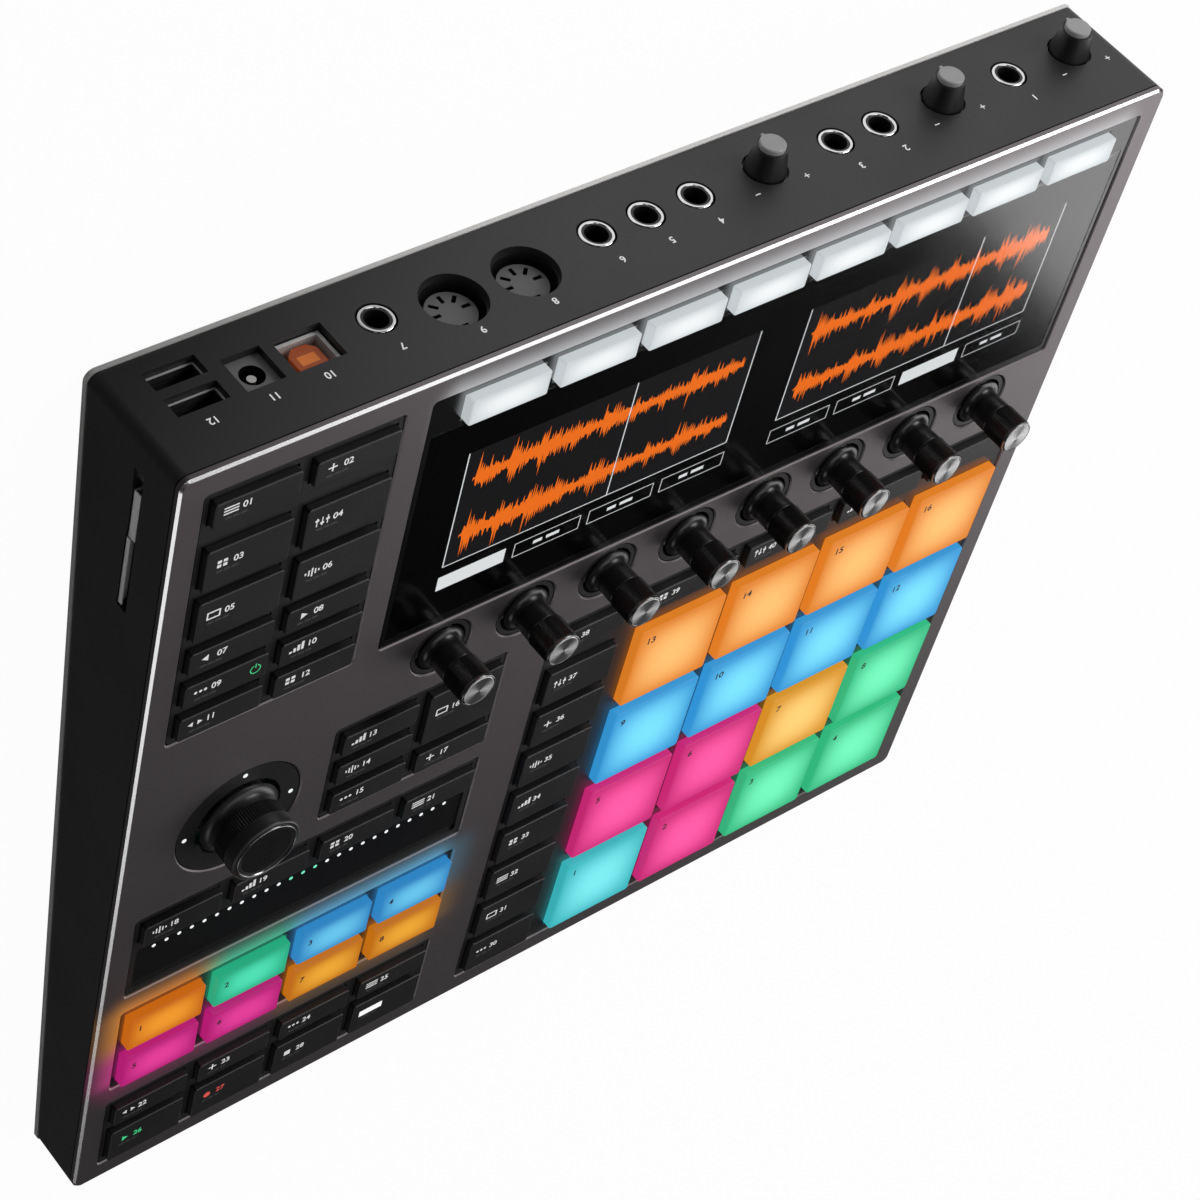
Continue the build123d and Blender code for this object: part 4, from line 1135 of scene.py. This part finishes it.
dress(data_socket_finish(), "usb_sockets")
dress(satin_metal("cage_steel", (0.80, 0.80, 0.80), 0.3), "card_reader")
flap_finish = plastic("flap_pale", (0.78, 0.78, 0.77), 0.35, bump=0.05)
flaps = ((0.6, 114.0, 129.4, -17.05, -14.2), (0.3, 91.2, 113.6, -17.15, -15.5))
flap_reach = 2.6
flap_wall = 0.3
flap_floor = 0.25
bm = bmesh.new()
for depth, front, rear, low, high in flaps:
    for reach, top in ((depth + flap_wall, high), (flap_reach, low + flap_floor)):
        middle = ((reach + depth) / 2 - half_width, (front + rear) / 2, (low + top) / 2)
        size = Matrix.Diagonal((reach - depth, rear - front, top - low, 1))
        bmesh.ops.create_cube(bm, size=1.0, matrix=Matrix.Translation(middle) @ size)
finish_piece("card_flaps", bm, [flap_finish], "case")


# The level knobs: tapered black caps with a grey end and a pointer nib.
# They press on the shafts of three level controls behind the rear wall.
level_shares = (0.903, 0.602, 0.207)
level_end = 7.2


def level_finish():
    """Black taper with a grey end cap."""
    material = plastic("level_black", (0.010, 0.010, 0.0105), 0.4)
    tree, black, place = repaint(material)
    end = between(tree, place["Rearward"], half_depth + level_end, half_depth + level_end + 0.06)
    return painted(material, {"Base Color": blend(tree, end, black, (0.36, 0.36, 0.365, 1))})


dress(level_finish(), "level_knob_1", "level_knob_2", "level_knob_3")


# The marks of the rear wall: plain numbers above the sockets, printed in light grey.
# A plus and a minus sign stand beside each level knob.
wall_number = 3.0
wall_number_level = -14.6
wall_number_shift = 0.9
midi_rise = 4.2
sign_level = -17.0
sign_reach = 8.4
sign_size = (1.7, 0.3)
bm = bmesh.new()
for share in level_shares:
    for side in (-1, 1):
        print_bar(bm, sign_reach * side - share * half_width, sign_level, 0, *sign_size)
    print_bar(bm, -sign_reach - share * half_width, sign_level, 0, *sign_size[::-1])
raise_print(bm)
socket_shares = jack_shares + midi_shares + (square_share, power_share, flat_share)
for i, share in enumerate(socket_shares):
    level = wall_number_level + (midi_rise if share in midi_shares else 0.0)
    digits(bm, str(i + 1), wall_number, -share * half_width - wall_number_shift, level, 0)
to_rear = Matrix(((-1, 0, 0, 0), (0, 0, 1, half_depth), (0, 1, 0, 0), (0, 0, 0, 1)))
bmesh.ops.transform(bm, matrix=to_rear, verts=bm.verts[:])
finish_piece("rear_marks", bm, [mark_inks["light"]], "case")


# The studio: a plain pale floor under soft lamps, seen from the rear left above the object.
# The camera leans over to one side, as the photograph's does.
floor_reach = 60.0
floor_drop = 0.0002
# Reach and depth of the painted shade in the floor's reflections.
shade_reach = 0.17
shade_share = 0.92
white_share = 0.97


def pale_floor():
    """Matte floor with a soft shadow, white to the camera and in reflections except for a painted shade in
    reflections left of the object, clear from below.
    """
    material, tree = shader("pale_floor")
    painted(material, {"Base Color": (0.8, 0.8, 0.8, 1), "Roughness": 0.9})
    matte = tree.nodes["Principled BSDF"].outputs["BSDF"]
    ray = add(tree, "LightPath").outputs
    place = add(tree, "TexCoord").outputs["Object"]
    across = add(tree, "SeparateXYZ", {0: place}).outputs["X"]
    # Painted shade: towards the object's left the floor turns darker in reflections only, as if the object
    # shaded it there.
    reflected_painted_shade = between(tree, across, -shade_reach, 0.0, shade_share, 0.0)
    mirrored = calc(tree, "SUBTRACT", 1.0, times(tree, ray["Is Glossy Ray"], reflected_painted_shade))
    seen = calc(tree, "MAXIMUM", *(ray[f"Is {kind} Ray"] for kind in ("Camera", "Glossy", "Transmission")))
    seen = times(tree, seen, white_share)
    white = add(tree, "Emission", {"Color": (1, 1, 1, 1), "Strength": mirrored}).outputs[0]
    mixed = add(tree, "MixShader", {0: seen, 1: matte, 2: white}).outputs[0]
    under = add(tree, "NewGeometry").outputs["Backfacing"]
    clear = add(tree, "BsdfTransparent").outputs["BSDF"]
    one_sided = add(tree, "MixShader", {0: under, 1: mixed, 2: clear})
    feed(tree, tree.nodes["Material Output"], {"Surface": one_sided.outputs["Shader"]})
    return material


floor_mesh = bpy.data.meshes.new("floor")
bm = bmesh.new()
floor_place = Matrix.Translation((0, 0, -floor_drop))
bmesh.ops.create_grid(bm, x_segments=1, y_segments=1, size=floor_reach, matrix=floor_place)
bm.to_mesh(floor_mesh)
bm.free()
floor_mesh.materials.append(pale_floor())
put("floor", floor_mesh)


def aimed(place, aim):
    """Place and turn of a lamp or camera that faces a point."""
    facing = (Vector(aim) - Vector(place)).to_track_quat("-Z", "Y")
    return Matrix.Translation(place) @ facing.to_matrix().to_4x4()


def soft_lamp(name, place, aim, wide, tall, radiance):
    """Rectangular soft lamp whose face shines with a given radiance."""
    data = bpy.data.lights.new(name, "AREA")
    data.shape = "RECTANGLE"
    data.size = wide
    data.size_y = tall
    data.energy = radiance * math.pi * wide * tall
    put(name, data).matrix_world = aimed(place, aim)


lamps = {
    "right_lamp": ((1.25, -0.56, 0.65), (0.0, -0.56, 0.65), 0.92, 0.9, 2.0),
    "high_lamp": ((0.85, -0.42, 1.1), (0, 0, 0), 0.8, 0.7, 2.4),
    "top_lamp": ((0.2, 0.3, 1.5), (0, 0, 0), 1.2, 1.2, 1.3),
    "rear_lamp": ((0.6, 0.72, 0.42), (0.05, 0.12, 0.0), 0.5, 0.4, 6.0),
    "rim_lamp": ((0.94, 0.84, 1.14), (0.0, 0.147, 0.05), 0.9, 0.5, 1.2),
    "corner_lamp": ((-0.86, 0.52, 1.18), (-0.16, 0.147, 0.05), 0.5, 0.5, 0.8),
    "left_lamp": ((-0.86, -1.26, 0.95), (-0.16, 0.0, 0.03), 0.8, 0.8, 1.3),
}
for name, settings in lamps.items():
    soft_lamp(name, *settings)

world = bpy.data.worlds.new("studio")
world.use_nodes = True
world.node_tree.nodes["Background"].inputs["Color"].default_value = (0.015, 0.015, 0.015, 1)
scene.world = world

photo_width = 1200
focal_pixels = 3297.68
camera_data = bpy.data.cameras.new("camera")
camera_data.sensor_width = 36.0
camera_data.lens = camera_data.sensor_width * focal_pixels / photo_width
camera_data.clip_start = 0.05
camera_place = (-0.4860, 0.64461, 0.46543)
camera_aim = (-0.01658, 0.03066, 0.040)
camera_roll = math.radians(134.896)
camera = put("camera", camera_data)
camera.matrix_world = aimed(camera_place, camera_aim) @ Matrix.Rotation(camera_roll, 4, "Z")
scene.camera = camera
scene.view_settings.view_transform = "Standard"
